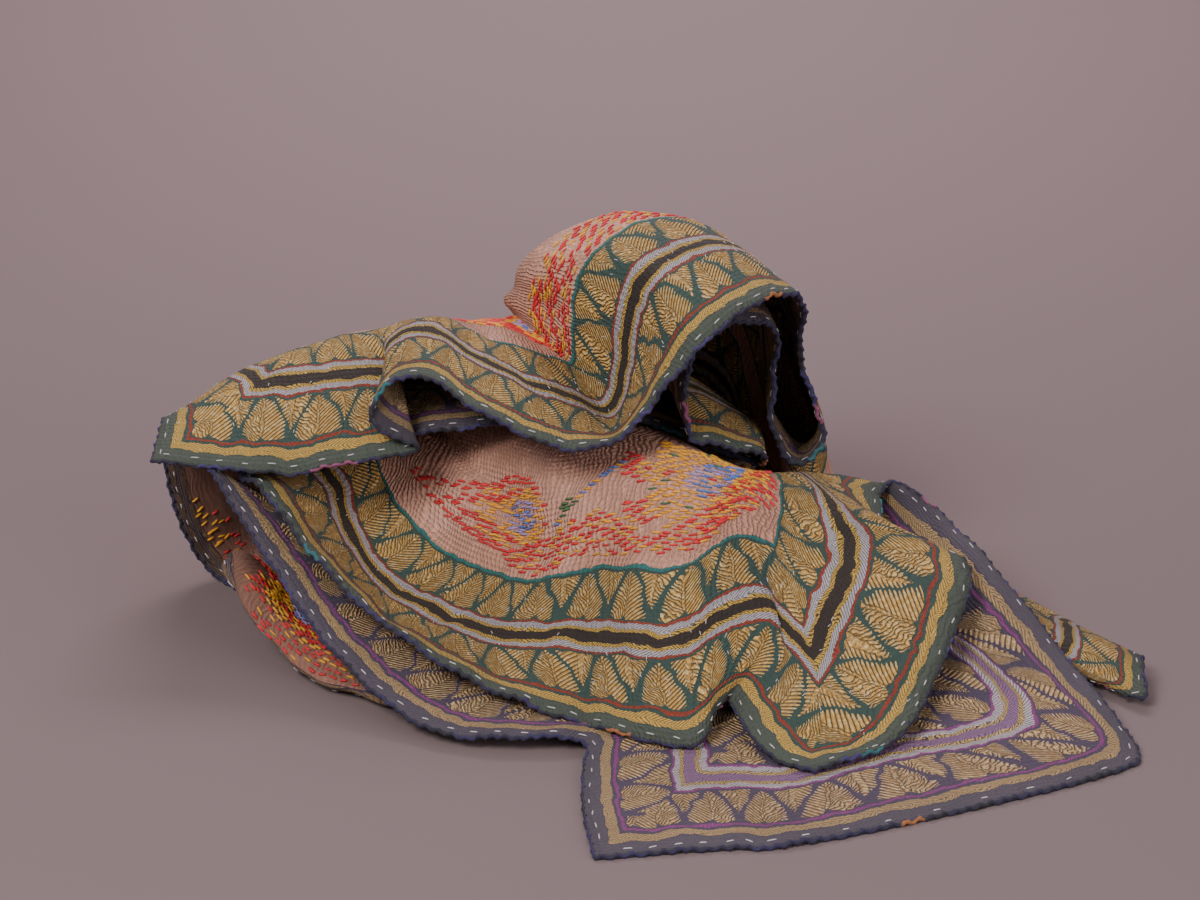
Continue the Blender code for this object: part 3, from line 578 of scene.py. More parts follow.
along_near = line_at(from_near, MEASURE_AT)
along_far = line_at(from_far, MEASURE_AT)
across_start = from_near[ROWS_IN]
across_end = from_near[-ROWS_BACK]
knots = spacing(np.array(folds, dtype=float), 0)
fold_row = dict(zip(fold_names, knots / knots[-1] * (FINE_ROWS - 1)))
row_number = np.arange(FINE_ROWS)[:, None]

rolled_away = 1 - soft_step(row_number, fold_row["flap right"], fold_row["hood left"])
far_depth = from_far * (1 + TIGHT * rolled_away)
snug_rise = soft_step(row_number, fold_row["arch left"], fold_row["arch right"])
snug_fall = 1 - soft_step(row_number, fold_row["arch right"], fold_row["hood foot"])
near_depth = from_near * (1 + SNUG * snug_rise * snug_fall)
start_depth = from_start * (1 + TIGHT * soft_step(from_near, *START_ENDS))
start_depth_behind = from_start * (1 + TIGHT * soft_step(from_near, *START_ENDS_BEHIND))
end_depth = from_end / WIDE_END
print("hems", along_near[-1].round(), along_far[-1].round(), "cm long")

# %% [markdown]
# Stitches draw the cloth in, so the hems ripple, and the whole bedcover is a little uneven. On top
# of that the main creases are laid in one by one, as soft ridges and troughs across the sheet.

# %% Ripples and creases
PUCKER_RISE = 0.12
SWAY_RISE = 0.10

pucker = np.sin(along_near / 0.62)[:, None] * np.exp(-from_near / 2.2)
pucker = pucker + np.sin(along_far / 0.66)[:, None] * np.exp(-from_far / 2.2)
pucker = pucker + np.sin(across_end / 0.7) * np.exp(-from_end / 2.0)
sway = np.sin(along_near[:, None] / 1.9 + np.sin(from_near / 3.1) * 1.6)
sway = sway * np.sin(from_near / 2.7 + along_near[:, None] / 5.0)


def crease(first_fold, first_depth, last_fold, last_depth, width, rise):
    """A soft ridge, or a trough if rise is negative, along a straight line on the sheet."""
    ends = [(np.interp(fold_row[name], np.arange(FINE_ROWS), along_near), depth)
            for name, depth in ((first_fold, first_depth), (last_fold, last_depth))]
    start, way = np.array(ends[0]), np.array(ends[1]) - np.array(ends[0])
    x, y = along_near[:, None] - start[0], from_near - start[1]
    share = np.clip((x * way[0] + y * way[1]) / (way @ way), 0, 1)
    away = np.hypot(x - share * way[0], y - share * way[1])
    return rise * np.exp(-(away / width) ** 2)


# From this fold and depth to that one, in cm from the near hem, then width and rise.
CREASES = (
    ("mid fold", 23, "mid front", 15.5, 1.7, -0.75), ("mid low", 24, "mid crest", 16, 1.6, 0.35),
    ("mid front", 0, "mid crest", 9, 1.1, 0.35), ("mid crest", 0, "mid crest", 10, 0.9, -0.4),
    ("mid right", 2, "mid right", 13, 1.0, 0.3), ("mid dip", 0, "mid low", 8, 1.0, -0.3),
    ("corner band", 2, "corner ridge", 12, 0.9, -0.35), ("left", 1, "left mid", 12, 1.1, -0.3),
    ("foot left", 2, "left mid", 11, 1.0, 0.25), ("hood left", 16, "hood rise", 30, 1.8, -0.6),
    ("hood top", 14, "hood crown", 26, 1.6, 0.3), ("flap right", 3, "arch right", 12, 1.0, -0.3),
)
lift = PUCKER_RISE * pucker + SWAY_RISE * sway + sum(crease(*row) for row in CREASES)
cloth = cloth + normals(cloth) * lift[..., None]
cloth[..., 2] = np.maximum(cloth[..., 2], FLOOR_LEVEL)
cloth_normals = normals(cloth)
print(len(CREASES), "creases, up to", np.abs(lift).max().round(2), "cm high")

# %% [markdown]
# The two faces of the cloth carry different colours, so the sheet is a thin closed skin: a front,
# a back and a rim, each with its own material. The measurements go with every point as attributes.

# %% The quilt's mesh
def add_mesh(name, points, faces, materials=()):
    """A new object from points in centimetres."""
    mesh = bpy.data.meshes.new(name)
    mesh.from_pydata((np.asarray(points) * CM).tolist(), [], np.asarray(faces).tolist())
    for material in materials:
        mesh.materials.append(material)
    mesh.polygons.foreach_set("use_smooth", [True] * len(mesh.polygons))
    mesh.update()
    piece = bpy.data.objects.new(name, mesh)
    bpy.context.collection.objects.link(piece)
    return piece


def add_measures(piece, name, along, depth, depth_behind=None):
    """An attribute holding the length along a hem and the depth from it."""
    values = np.zeros((len(piece.data.vertices), 3), dtype=np.float32)
    behind = depth if depth_behind is None else depth_behind
    sides = [np.stack(np.broadcast_arrays(along, d), -1).reshape(-1, 2) for d in (depth, behind)]
    values[:, :2] = np.concatenate(sides)
    attribute = piece.data.attributes.new(name, "FLOAT_VECTOR", "POINT")
    attribute.data.foreach_set("vector", values.ravel())


faces = sheet_faces(FINE_ROWS, FINE_COLUMNS)
per_side = 2 * (FINE_ROWS - 1) * (FINE_COLUMNS - 1)
slots = np.repeat([0, 1, 2], [per_side, per_side, len(faces) - 2 * per_side])
quilt_cloth = add_mesh("quilt_cloth", laid_flat(thickened(cloth, THICKNESS)), faces)
quilt_cloth.data.polygons.foreach_set("material_index", slots.astype(np.int32))
add_measures(quilt_cloth, "near_hem", along_near[:, None], near_depth)
add_measures(quilt_cloth, "far_hem", along_far[:, None], far_depth)
add_measures(quilt_cloth, "start_hem", across_start, start_depth, start_depth_behind)
add_measures(quilt_cloth, "end_hem", across_end, end_depth)
print("cloth has", len(faces), "triangles")

# %% [markdown]
# Every pattern below is sums over the two measures, so the shader is written as sums too: a small
# class lets ordinary signs join shader numbers with maths nodes.

# %% Shader arithmetic
def add_node(tree, kind, settings=None, links=None):
    """A node with its settings, and its inputs linked or set."""
    node = tree.nodes.new(kind)
    for key, value in (settings or {}).items():
        setattr(node, key, value)
    for key, value in (links or {}).items():
        value = value.socket if isinstance(value, Number) else value
        if isinstance(value, bpy.types.NodeSocket):
            tree.links.new(value, node.inputs[key])
        else:
            node.inputs[key].default_value = value
    return node


class Number:
    """A shader number that ordinary signs can join."""

    def __init__(self, socket):
        self.socket = socket

    def __add__(self, other):
        return maths("ADD", self, other)

    def __sub__(self, other):
        return maths("SUBTRACT", self, other)

    def __rsub__(self, other):
        return maths("SUBTRACT", other, self)

    def __mul__(self, other):
        return maths("MULTIPLY", self, other)

    def __truediv__(self, other):
        return maths("DIVIDE", self, other)

    def __pow__(self, other):
        return maths("POWER", self, other)

    def __lt__(self, other):
        return maths("LESS_THAN", self, other)

    def __gt__(self, other):
        return maths("GREATER_THAN", self, other)

    __radd__ = __add__
    __rmul__ = __mul__


def maths(operation, *values):
    """One maths node on numbers and plain constants."""
    tree = next(v.socket.id_data for v in values if isinstance(v, Number))
    node = add_node(tree, "ShaderNodeMath", {"operation": operation}, dict(enumerate(values)))
    return Number(node.outputs[0])


def clamped(value):
    """The number kept between 0 and 1."""
    return maths("MINIMUM", maths("MAXIMUM", value, 0.0), 1.0)


def either(choice, if_one, if_zero):
    """if_one where choice is 1, if_zero where it is 0."""
    return choice * (if_one - if_zero) + if_zero


def blend(tree, share, first, second, kind="MIX"):
    """Two colours mixed."""
    node = add_node(tree, "ShaderNodeMix", {"data_type": "RGBA", "blend_type": kind})
    for place, value in ((0, share), (6, first), (7, second)):
        value = value.socket if isinstance(value, Number) else value
        if isinstance(value, bpy.types.NodeSocket):
            tree.links.new(value, node.inputs[place])
        else:
            node.inputs[place].default_value = value if place == 0 else (*value, 1.0)
    return node.outputs[2]


def noise(tree, scale, detail=2.0):
    """Noise on the object, about 0.5 on the whole; 1 over the scale is its size in metres."""
    place = add_node(tree, "ShaderNodeTexCoord").outputs["Object"]
    node = add_node(tree, "ShaderNodeTexNoise", {},
                    {"Vector": place, "Scale": scale, "Detail": detail})
    return Number(node.outputs[0])


def banded(tree, place, reach, stops):
    """Colours that change sharply at each stop, read at a place from 0 to reach."""
    node = add_node(tree, "ShaderNodeValToRGB", {}, {"Fac": place / reach})
    ramp = node.color_ramp
    ramp.interpolation = "CONSTANT"
    while len(ramp.elements) < len(stops):
        ramp.elements.new(1.0)
    for element, (start, colour) in zip(ramp.elements, stops):
        element.position = start / reach
        element.color = (*colour, 1.0)
    return node.outputs[0]


print("signs that join shader numbers:", sum(name.startswith("__") for name in vars(Number)))

# %% [markdown]
# The border has one pattern on all four sides and on both faces: a plain turned hem, a satin
# stripe, a row of leaves with small fillers upside down between them, a woven-looking band
# between two braids, and a second row of leaves. The reverse shows it in other threads.
# So one table of zones serves both faces, with a palette for each. Real thread is finer than
# this: braid strands and satin stitches lie about 3 mm apart here, so that they show.

# %% Zones of the border
FIELD_AT = 13.15            # cm from the hem, where the border ends
BAND_MIDDLE = 7.7           # cm from the hem, between the two rows of leaves
OUTER_ROW = 2.5             # cm from the hem, where each row of leaves starts
INNER_ROW = 9.1
ROW_LENGTH = 3.7            # a leaf, base to tip
LEAF_PITCH = 4.0
VEIN_PITCH = 0.33           # one satin stitch of a leaf to the next
STRAND_PITCH = 0.28         # one twisted strand of a braid or stripe to the next
RIPPLE_PITCH = 0.44         # one quilting stitch to the next in its row
QUILTING_ROWS = 0.40        # one row of quilting to the next
RELIEF = 0.0026             # metres of bump where the height is 1
REACH = 16.0                # cm of depth that the zones are drawn over

# Besides the zone colours, each palette holds a light gold, painted on the leaf stitches as a
# highlight, and a dark colour, painted into the grooves between threads as shade.
FRONT = {
    "hem": "#424b44", "stripe": "#c19d50", "line": "#8a3626", "ground": "#2f4541",
    "braid": "#aaa5ae", "edge": "#bd9a48", "band": "#2a2223", "leaf": "#c99d52",
    "leaf painted highlight": "#ecd096", "painted groove shade": "#352b18", "inner line": "#23706f", "field": "#c9937f",
}
REVERSE = {
    "hem": "#4a4351", "stripe": "#a98d64", "line": "#84397a", "ground": "#453a50",
    "braid": "#b3a9b2", "edge": "#b59a62", "band": "#85628a", "leaf": "#bd996c",
    "leaf painted highlight": "#dfc49a", "painted groove shade": "#33262f", "inner line": "#5a3a68", "field": "#c28b78",
}
# Depth where each zone starts, its colour, and its relief, twill and leaf shares.
ZONES = (
    (0.0, "hem", (0.25, 0.0, 0.0)), (1.08, "ground", (0.1, 0.0, 0.0)),
    (1.16, "stripe", (0.55, 1.0, 0.0)),
    (1.9, "ground", (0.1, 0.0, 0.0)), (2.15, "line", (0.4, 0.6, 0.0)),
    (2.4, "ground", (0.1, 0.0, 0.0)), (OUTER_ROW, "ground", (0.1, 0.0, 1.0)),
    (6.2, "ground", (0.1, 0.0, 0.0)), (6.28, "line", (0.4, 0.6, 0.0)),
    (6.46, "braid", (0.75, 1.0, 0.0)), (6.9, "edge", (0.6, 1.3, 0.0)),
    (7.2, "band", (0.35, 0.9, 0.0)), (8.05, "edge", (0.6, 1.3, 0.0)),
    (8.35, "braid", (0.75, 1.0, 0.0)), (8.84, "line", (0.4, 0.6, 0.0)),
    (9.02, "ground", (0.1, 0.0, 0.0)), (INNER_ROW, "ground", (0.1, 0.0, 1.0)),
    (12.8, "ground", (0.1, 0.0, 0.0)), (12.88, "inner line", (0.5, 0.5, 0.0)),
    (FIELD_AT, "field", (0.2, 0.0, 0.0)),
)


def nearest_hem(tree):
    """Length along, and depth from, whichever hem is nearest."""
    along = depth = None
    for name in ("near_hem", "far_hem", "start_hem", "end_hem"):
        measure = add_node(tree, "ShaderNodeAttribute", {"attribute_name": name})
        parts = add_node(tree, "ShaderNodeSeparateXYZ", {}, {0: measure.outputs["Vector"]})
        a, d = Number(parts.outputs[0]), Number(parts.outputs[1])
        if along is None:
            along, depth = a, d
        else:
            closer = d < depth
            along = either(closer, a, along)
            depth = maths("MINIMUM", depth, d)
    return along, depth


print(len(ZONES), "zones from the hem to the field, at", FIELD_AT, "cm")

# %% [markdown]
# A leaf is satin stitch: parallel threads slant out from a double spine, so its edge is jagged and
# its surface is ribbed. No hand works two leaves alike, so each has its own lean and width, drawn
# from its number in the row. An image could carry leaves too, but sums stay sharp from near by.

# %% Leaves
def leaves(along, depth, in_row):
    """Where leaf stitches lie, where their grooves are, and their relief."""
    outer = depth < BAND_MIDDLE
    tip = either(outer, depth - OUTER_ROW, depth - INNER_ROW) / ROW_LENGTH
    place = along / LEAF_PITCH + outer * 0.5
    number = maths("FLOOR", place)
    lean = tip * maths("SINE", number * 5.1 + outer * 2) * 0.4
    side = maths("ABSOLUTE", (maths("FRACT", place) - 0.5) * LEAF_PITCH + lean)
    other = LEAF_PITCH / 2 - side
    vein = maths("FRACT", (tip * ROW_LENGTH - side * 0.95) / VEIN_PITCH)
    jagged = maths("ABSOLUTE", vein - 0.5) ** 2 * 2.0
    width = (1 - tip ** 1.9) ** 0.8 * (maths("SINE", number * 12.9) * 0.14 + 1.66)
    base = (tip > (side - 0.75) ** 2 * 0.11 + 0.01) * (tip > 0.12 - side * 0.4)
    main = (side + jagged < width) * base
    small = other + jagged * 0.7 < (1 - ((1 - tip) / 0.74) ** 1.1) * 1.3
    stitched = maths("MAXIMUM", main, small * (tip < 0.985)) * in_row
    spine = maths("MINIMUM", side, other)
    double_spine = maths("ABSOLUTE", spine - 0.11) < 0.035
    groove = maths("MAXIMUM", vein < 0.27, double_spine) * (spine > 0.075)
    round_stitch = maths("SINE", vein * math.pi)
    return stitched, groove, stitched * (round_stitch * 0.9 + 0.35 - groove * 0.5)


print("a leaf has", round(ROW_LENGTH / VEIN_PITCH), "stitches on each side of its spine")

# %% [markdown]
# Washed cotton is matt: light sinks in between its fibres, so it has no highlight, only a faint
# bloom where it turns away from the eye. It gets a high roughness, cotton's own IOR and a little
# sheen, and what the eye reads as embroidery comes from relief and from the painted highlight and
# shade in its colour, not from gloss.

# %% Finish of cloth and thread
def tone(tree, value):
    """A grey as bright as the number."""
    node = add_node(tree, "ShaderNodeCombineXYZ", {}, {0: value, 1: value, 2: value})
    return node.outputs[0]


def add_skin(tree, colour, normal, rough):
    """Cloth or thread: rough, a little sheen, and the given colour and normal."""
    shader = tree.nodes["Principled BSDF"]
    shader.inputs["Roughness"].default_value = rough
    shader.inputs["IOR"].default_value = 1.46
    shader.inputs["Sheen Weight"].default_value = 0.05
    shader.inputs["Sheen Roughness"].default_value = 0.5
    tree.links.new(colour, shader.inputs["Base Color"])
    tree.links.new(normal, shader.inputs["Normal"])


print("cloth and thread share one finish; only their roughness differs")

# %% [markdown]
# The two faces are put together in layers, as they are sewn: ground colour by zone, leaves on it,
# lighter patches on the leaves as a painted highlight, painted shade in the grooves between the
# threads, faded patches in the field, and then the rows of quilting, which ripple the whole cloth.
# The same rows drive the relief and a painted shade and light in the colour, so they stay together.

# %% The embroidered faces
def embroidered(name, palette, field_tint, rows_from):
    """One face of the quilt: border, field and quilting ripples."""
    material = bpy.data.materials.new(name)
    material.use_nodes = True
    tree = material.node_tree
    colour = {key: linear(code) for key, code in palette.items()}
    along, depth = nearest_hem(tree)
    wander = noise(tree, 70.0, 4.0)
    depth = depth + (wander - 0.5) * 0.95
    along = along + (wander - 0.5) * 1.05

    zone = banded(tree, depth, REACH, [(at, colour[key]) for at, key, _ in ZONES])
    shares = banded(tree, depth, REACH, [(at, share) for at, _, share in ZONES])
    parts = add_node(tree, "ShaderNodeSeparateXYZ", {}, {0: shares})
    relief, twill, in_row = (Number(parts.outputs[k]) for k in range(3))

    stitched, groove, leaf_relief = leaves(along, depth, in_row)
    strand = maths("FRACT", (along + maths("PINGPONG", depth, 0.5) * 1.6) / STRAND_PITCH)
    cut = (strand < 0.36) * twill
    fine = noise(tree, 900.0, 2.0)
    patch = noise(tree, 14.0, 3.0)

    face = blend(tree, stitched, zone, colour["leaf"])
    thread = noise(tree, 330.0, 2.0)
    # Lighter gold patches laid by noise over the leaf stitches: a painted highlight on the raised
    # satin threads.
    face = blend(tree, stitched * clamped(thread * 5 - 2.3) * 0.75, face, colour["leaf painted highlight"])
    # Dark painted into the grooves between satin stitches, along each leaf's double spine, and
    # between the strands of braids, stripes and lines: painted shade in these recesses, where some
    # dark ground also shows between the threads.
    face = blend(tree, stitched * groove * 0.72, face, colour["painted groove shade"])
    face = blend(tree, cut * 0.72, face, colour["painted groove shade"])
    in_field = depth > FIELD_AT
    face = blend(tree, in_field * clamped(patch * 5 - 2.1) * 0.6, face, linear(field_tint))

    measure = add_node(tree, "ShaderNodeAttribute", {"attribute_name": rows_from})
    parts = add_node(tree, "ShaderNodeSeparateXYZ", {}, {0: measure.outputs["Vector"]})
    length, across = Number(parts.outputs[0]), Number(parts.outputs[1])
    bend = noise(tree, 34.0, 4.0)
    ripple = maths("SINE", (length + bend * 2.6) * (2 * math.pi / RIPPLE_PITCH))
    stitch_row = maths("SINE", across * (2 * math.pi / QUILTING_ROWS) + ripple * 0.8)
    quilting = ripple * 0.85 + stitch_row * (fine * 0.8 + 0.1)
    # The quilting ripples also go into the colour, darker in their troughs and lighter on their
    # crests: painted shade and light. The patch and fine noise in the same multiplier are the
    # cloth's own uneven tone.
    face = blend(tree, 1.0, face, tone(tree, quilting * (in_field * 0.10 + 0.03) + patch * 0.45
                                       + fine * 0.5 + 0.52), "MULTIPLY")

    height = relief + leaf_relief - cut * 0.4 + fine * 0.3 + wander * 0.8
    height = height + quilting * (in_field * 0.26 + 0.14)
    bump = add_node(tree, "ShaderNodeBump", {}, {"Strength": 1.0, "Distance": RELIEF,
                                                 "Height": height})
    add_skin(tree, face, bump.outputs[0], 0.82)
    return material


front_face = embroidered("embroidered cotton, right side", FRONT, "#d8a796", "near_hem")
reverse_face = embroidered("embroidered cotton, reverse", REVERSE, "#cf9a8c", "far_hem")
print("nodes in the front face:", len(front_face.node_tree.nodes))

# %% [markdown]
# Thread is spun and doubled cotton, a little smoother than the cloth, so it catches more light.
# One material serves every colour, because each stitch keeps its own colour as an attribute. The
# rim, where the hem is turned, is plain dark cotton.

# %% Thread and the turned hem
def thread_material(name, rough):
    """Spun thread, coloured by the piece's own thread_colour attribute."""
    material = bpy.data.materials.new(name)
    material.use_nodes = True
    tree = material.node_tree
    own = add_node(tree, "ShaderNodeAttribute", {"attribute_name": "thread_colour"})
    twist = noise(tree, 1400.0, 1.0)
    bump = add_node(tree, "ShaderNodeBump", {}, {"Strength": 0.5, "Distance": 0.0004,
                                                 "Height": twist})
    shaded = blend(tree, 1.0, own.outputs["Color"], tone(tree, twist * 0.6 + 0.7), "MULTIPLY")
    add_skin(tree, shaded, bump.outputs[0], rough)
    return material


stitch_thread = thread_material("cotton embroidery thread", 0.62)
edge_thread = thread_material("cotton edging thread", 0.75)
rim_cloth = bpy.data.materials.new("turned hem, dark cotton")
rim_cloth.use_nodes = True
rim_shader = rim_cloth.node_tree.nodes["Principled BSDF"]
rim_shader.inputs["Base Color"].default_value = (*linear("#3a3c40"), 1.0)
rim_shader.inputs["Roughness"].default_value = 0.85
for material in (front_face, reverse_face, rim_cloth):
    quilt_cloth.data.materials.append(material)
print("materials", [m.name for m in quilt_cloth.data.materials])

# %% [markdown]
# Anything that lies on the cloth is placed by where it is on the sheet, in rows and columns, and
# the fine grid says where that is in the room. These helpers read the grid between its points.

# %% Reading places on the cloth
def on_cloth(values, row, column):
    """Values of the fine grid read between its rows and columns."""
    row = np.clip(row, 0, FINE_ROWS - 1.001)
    column = np.clip(column, 0, FINE_COLUMNS - 1.001)
    i, j = row.astype(int), column.astype(int)
    a, b = (row - i)[:, None], (column - j)[:, None]
    near = values[i, j] * (1 - b) + values[i, j + 1] * b
    return near * (1 - a) + (values[i + 1, j] * (1 - b) + values[i + 1, j + 1] * b) * a


row_step = np.linalg.norm(np.gradient(cloth, axis=0), axis=2, keepdims=True)
column_step = np.linalg.norm(np.gradient(cloth, axis=1), axis=2, keepdims=True)
print("a row is", row_step.mean().round(2), "cm, a column", column_step.mean().round(2), "cm")


def column_at(row, depth, depths):
    """Column where a row of the cloth is a given depth from a hem."""
    found = []
    for i, d in zip(np.clip(np.round(row).astype(int), 0, FINE_ROWS - 1), depth):
        order = 1 if depths[i, 0] < depths[i, -1] else -1
        found.append(np.interp(d, depths[i, ::order], np.arange(FINE_COLUMNS)[::order]))
    return np.array(found)


# %% [markdown]
# A stitch that shows is a short length of thread, held down at both ends. It could be a curve with
# a bevel, but there are thousands, so each is eight points: two ends, and two rings of three
# between them. They are all worked out at once with arrays, and joined in one mesh.

# %% A stitch
STITCH_LIFT = 0.015         # cm of air that keeps thread and cloth apart
END_SUNK = 0.03             # cm by which the ends dip into the cloth


def paint(piece, colours):
    """A colour for every point, kept as thread_colour."""
    attribute = piece.data.attributes.new("thread_colour", "FLOAT_COLOR", "POINT")
    full = np.concatenate([colours, np.ones((len(colours), 1))], 1)
    attribute.data.foreach_set("color", full.astype(np.float32).ravel())


def add_stitches(name, row, column, turn, length, width, colour, side, material):
    """Small threads on one face: side is 1 for the right side and -1 for the reverse."""
    row_move = np.cos(turn) * length / on_cloth(row_step, row, column)[:, 0]
    column_move = np.sin(turn) * length / on_cloth(column_step, row, column)[:, 0]
    normal = on_cloth(cloth_normals, row, column)
    normal /= np.linalg.norm(normal, axis=1, keepdims=True)
    middle = on_cloth(cloth, row, column)
    reach = on_cloth(cloth, row + row_move * 0.3, column + column_move * 0.3) - middle
    span = reach / np.maximum(np.linalg.norm(reach, axis=1, keepdims=True), 1e-6)
    out = normal * side
    beside = np.cross(out, span)
    wide = width[:, None] / 2
    rings = []
    for share, swell in ((-1.0, 0.0), (-0.6, 1.0), (0.6, 1.0), (1.0, 0.0)):
        spot = on_cloth(cloth, row + row_move * share / 2, column + column_move * share / 2)
        base = spot + out * (THICKNESS / 2 + STITCH_LIFT)
        if swell == 0.0:
            rings.append([base - out * END_SUNK])
        else:
            rings.append([base + beside * wide, base + out * wide * 1.1, base - beside * wide])
    points = np.concatenate([np.stack(ring, 1) for ring in rings], 1)
    shape = np.array([(0, 1, 2), (0, 2, 3), (0, 3, 1), (7, 5, 4), (7, 6, 5), (7, 4, 6),
                      (1, 4, 5), (1, 5, 2), (2, 5, 6), (2, 6, 3), (3, 6, 4), (3, 4, 1)])
    faces = (shape + 8 * np.arange(len(points))[:, None, None]).reshape(-1, 3)
    piece = add_mesh(name, points.reshape(-1, 3), faces[:, ::-1], [material])
    paint(piece, np.repeat(colour, 8, axis=0))
    print(name, len(points), "stitches,", len(faces), "triangles")
    return piece


print("a stitch has 8 points and 12 triangles")

# %% [markdown]
# The field between the borders carries large motifs worked in running stitch: round flowers with
# a blue and lilac heart, and long flames of red and yellow. Each stitch of the quilting grid asks
# which motif it lies in, and takes that motif's thread there. Between motifs it stays undyed.
# Each motif is a small rule in its own centimetres, so that it can be turned, sized and repeated.

# %% Motifs of the field
RED, YELLOW, BLUE, LILAC, GREEN = (
    linear(code) for code in ("#cf2b33", "#e0a02c", "#5470b4", "#9a8bc2", "#3f6a45"))
STITCH_ALONG = 0.9          # cm from one stitch to the next
STITCH_ACROSS = 0.28        # cm from one row to the next
STITCH_ACROSS_BEHIND = 0.45
ROW_SHIFT = 0.36            # each row of stitches starts this share of a stitch later
DEEPEST = 46                # cm from the hem, past which there are no motifs
FIELD_THREAD = 0.21         # thickness of the doubled thread


def flower(x, y, chance):
    """Thread of a round flower: 1 red, 2 yellow, 3 blue, 4 lilac, 5 green, 0 none."""
    r = np.hypot(x, y)
    angle = np.arctan2(y, x)
    thread = np.zeros(len(x), int)
    ray = np.cos(angle * 9 + r * 0.5)
    thread[(r < 7.6) & (ray > -0.2) & (y < 2.5)] = 1
    thread[(r < 5.6 + 0.7 * ray) & (chance > 0.08)] = 2
    thread[(r > 3.2) & (r < 5.2) & (x > 1.5) & (chance > 0.45)] = 1
    thread[(r < 5.0) & (chance > 0.94)] = 5
    thread[(r < 2.3) & (chance > 0.15)] = 4
    ring = np.abs(r - 1.5 - 0.5 * np.cos(angle * 3)) < 0.36
    thread[ring | ((r < 2.0) & (chance > 0.8))] = 3
    return thread


def flame(x, y, chance):
    """Thread of a long flame, its heart near the origin and its tail along -x."""
    thread = np.zeros(len(x), int)
    width = np.where(x > 0, 3.4 * np.sqrt(np.clip(1 - (x / 4.4) ** 2, 0, 1)),
                     3.4 * np.clip(1 + x / 15.0, 0, 1) ** 0.9)
    from_outline = width - np.abs(y)
    outline = (from_outline > 0) & (from_outline < 0.62)
    inner = (from_outline > 1.15) & (from_outline < 1.7) & (x < 0.5)
    thread[(from_outline > 0.62) & (x > -5.5) & (chance > 0.45)] = 2
    thread[outline | inner] = 1
    thread[(from_outline > 0.5) & (x > 1.5) & (chance > 0.2)] = 2
    heart = np.hypot((x - 0.8) / 2.6, y / 1.5)
    thread[(heart < 1.25) & (chance > 0.1)] = 2
    thread[(heart < 0.95) & (chance > 0.25)] = 4
    thread[(heart < 0.8) & (chance > 0.55)] = 3
    return thread


def blaze(x, y, chance):
    """Thread of the red and yellow fringe beside the border, 12 cm long and 4.4 wide."""
    thread = np.zeros(len(x), int)
    streak = np.mod(y + 0.32 * np.abs(x), 1.35)
    inside = (np.abs(x) < 6) & (np.abs(y) < 2.2 - 0.04 * x * x)
    thread[inside & (streak < 0.72)] = 1
    thread[inside & (streak > 0.72) & (chance > 0.4)] = 2
    return thread


def sprig(x, y, chance):
    """Thread of a small leafy sprig that leans across the cloth."""
    thread = np.zeros(len(x), int)
    stem = np.abs(y - 0.9 * x) < 0.45
    thread[stem & (np.abs(x) < 2.6)] = 3
    thread[stem & (np.abs(x) < 2.6) & (chance > 0.5)] = 2
    thread[(np.hypot(x + 1.6, y + 1.2) < 0.8)] = 5
    return thread


threads = np.array([(0, 0, 0), RED, YELLOW, BLUE, LILAC, GREEN])
print("threads of the field", threads[1:].round(2).tolist())

# %% [markdown]
# Running stitch is worked in rows a few millimetres apart, each a little out of step with the
# last. The stitches are laid out that way, those outside every motif are dropped, and the rest get
# the unevenness of handwork: a shifted place, a turned direction, a thicker or thinner thread.

# %% Rows of field stitches
def field_stitches(name, motifs, hem, side, rows):
    """Coloured stitches of the field, measured from the near or the far hem."""
    along, depths, start_depths, from_depth, across, kept_back = (
        (along_near, from_near, start_depth, 13.2, STITCH_ACROSS, 13.4) if hem == "near"
        else (along_far, from_far, start_depth_behind, 1.5, STITCH_ACROSS_BEHIND, 8.0))
    first, last = (np.interp(fold_row[f], np.arange(FINE_ROWS), along) for f in rows)
    places = []
    for k, depth in enumerate(np.arange(from_depth, DEEPEST, across)):
        start = first + STITCH_ALONG * (k * ROW_SHIFT % 1)
        line = np.arange(start, last, STITCH_ALONG)
        places.append(np.stack([line, np.full(len(line), depth)], 1))
    places = np.concatenate(places)
    chance = random.random(len(places))
    code = np.zeros(len(places), int)
    for kind, fold_name, shift, depth, size, turn in motifs:
        centre = np.interp(fold_row[fold_name], np.arange(FINE_ROWS), along) + shift
        x, y = (places[:, 0] - centre) / size, (places[:, 1] - depth) / size
        c, s = math.cos(math.radians(turn)), math.sin(math.radians(turn))
        found = kind(x * c + y * s, y * c - x * s, chance)
        code = np.where(found > 0, found, code)
    keep = code > 0
    places, code, chance = places[keep], code[keep], chance[keep]
    places = places + random.normal(0, 0.05, places.shape)
    row = np.interp(places[:, 0], along, np.arange(FINE_ROWS))
    limit = np.interp(row, np.arange(FINE_ROWS), from_near[:, -1])
    inside = places[:, 1] < limit - kept_back
    row, places, code, chance = row[inside], places[inside], code[inside], chance[inside]
    column = column_at(row, places[:, 1], depths)
    clear = np.min([on_cloth(d[..., None], row, column)[:, 0]
                    for d in (near_depth, far_depth, start_depths, end_depth)], axis=0)
    inside = clear > FIELD_AT + 0.25
    row, column, code, chance = row[inside], column[inside], code[inside], chance[inside]
    hues = threads[code] * (0.85 + 0.3 * random.random((len(code), 1)))
    turn = random.normal(0, 0.13, len(code))
    length = STITCH_ALONG * (0.78 + 0.16 * chance)
    width = FIELD_THREAD * (0.8 + 0.4 * random.random(len(code)))
    return add_stitches(name, row, column, turn, length, width, hues, side, stitch_thread)


print("rows", STITCH_ACROSS, "cm apart, stitches every", STITCH_ALONG, "cm")

# %% [markdown]
# Flowers stand in the field, flames and fringes beside the border. Most of the reverse lies inward
# or on the floor, so it has fewer motifs, and its rows are further apart.

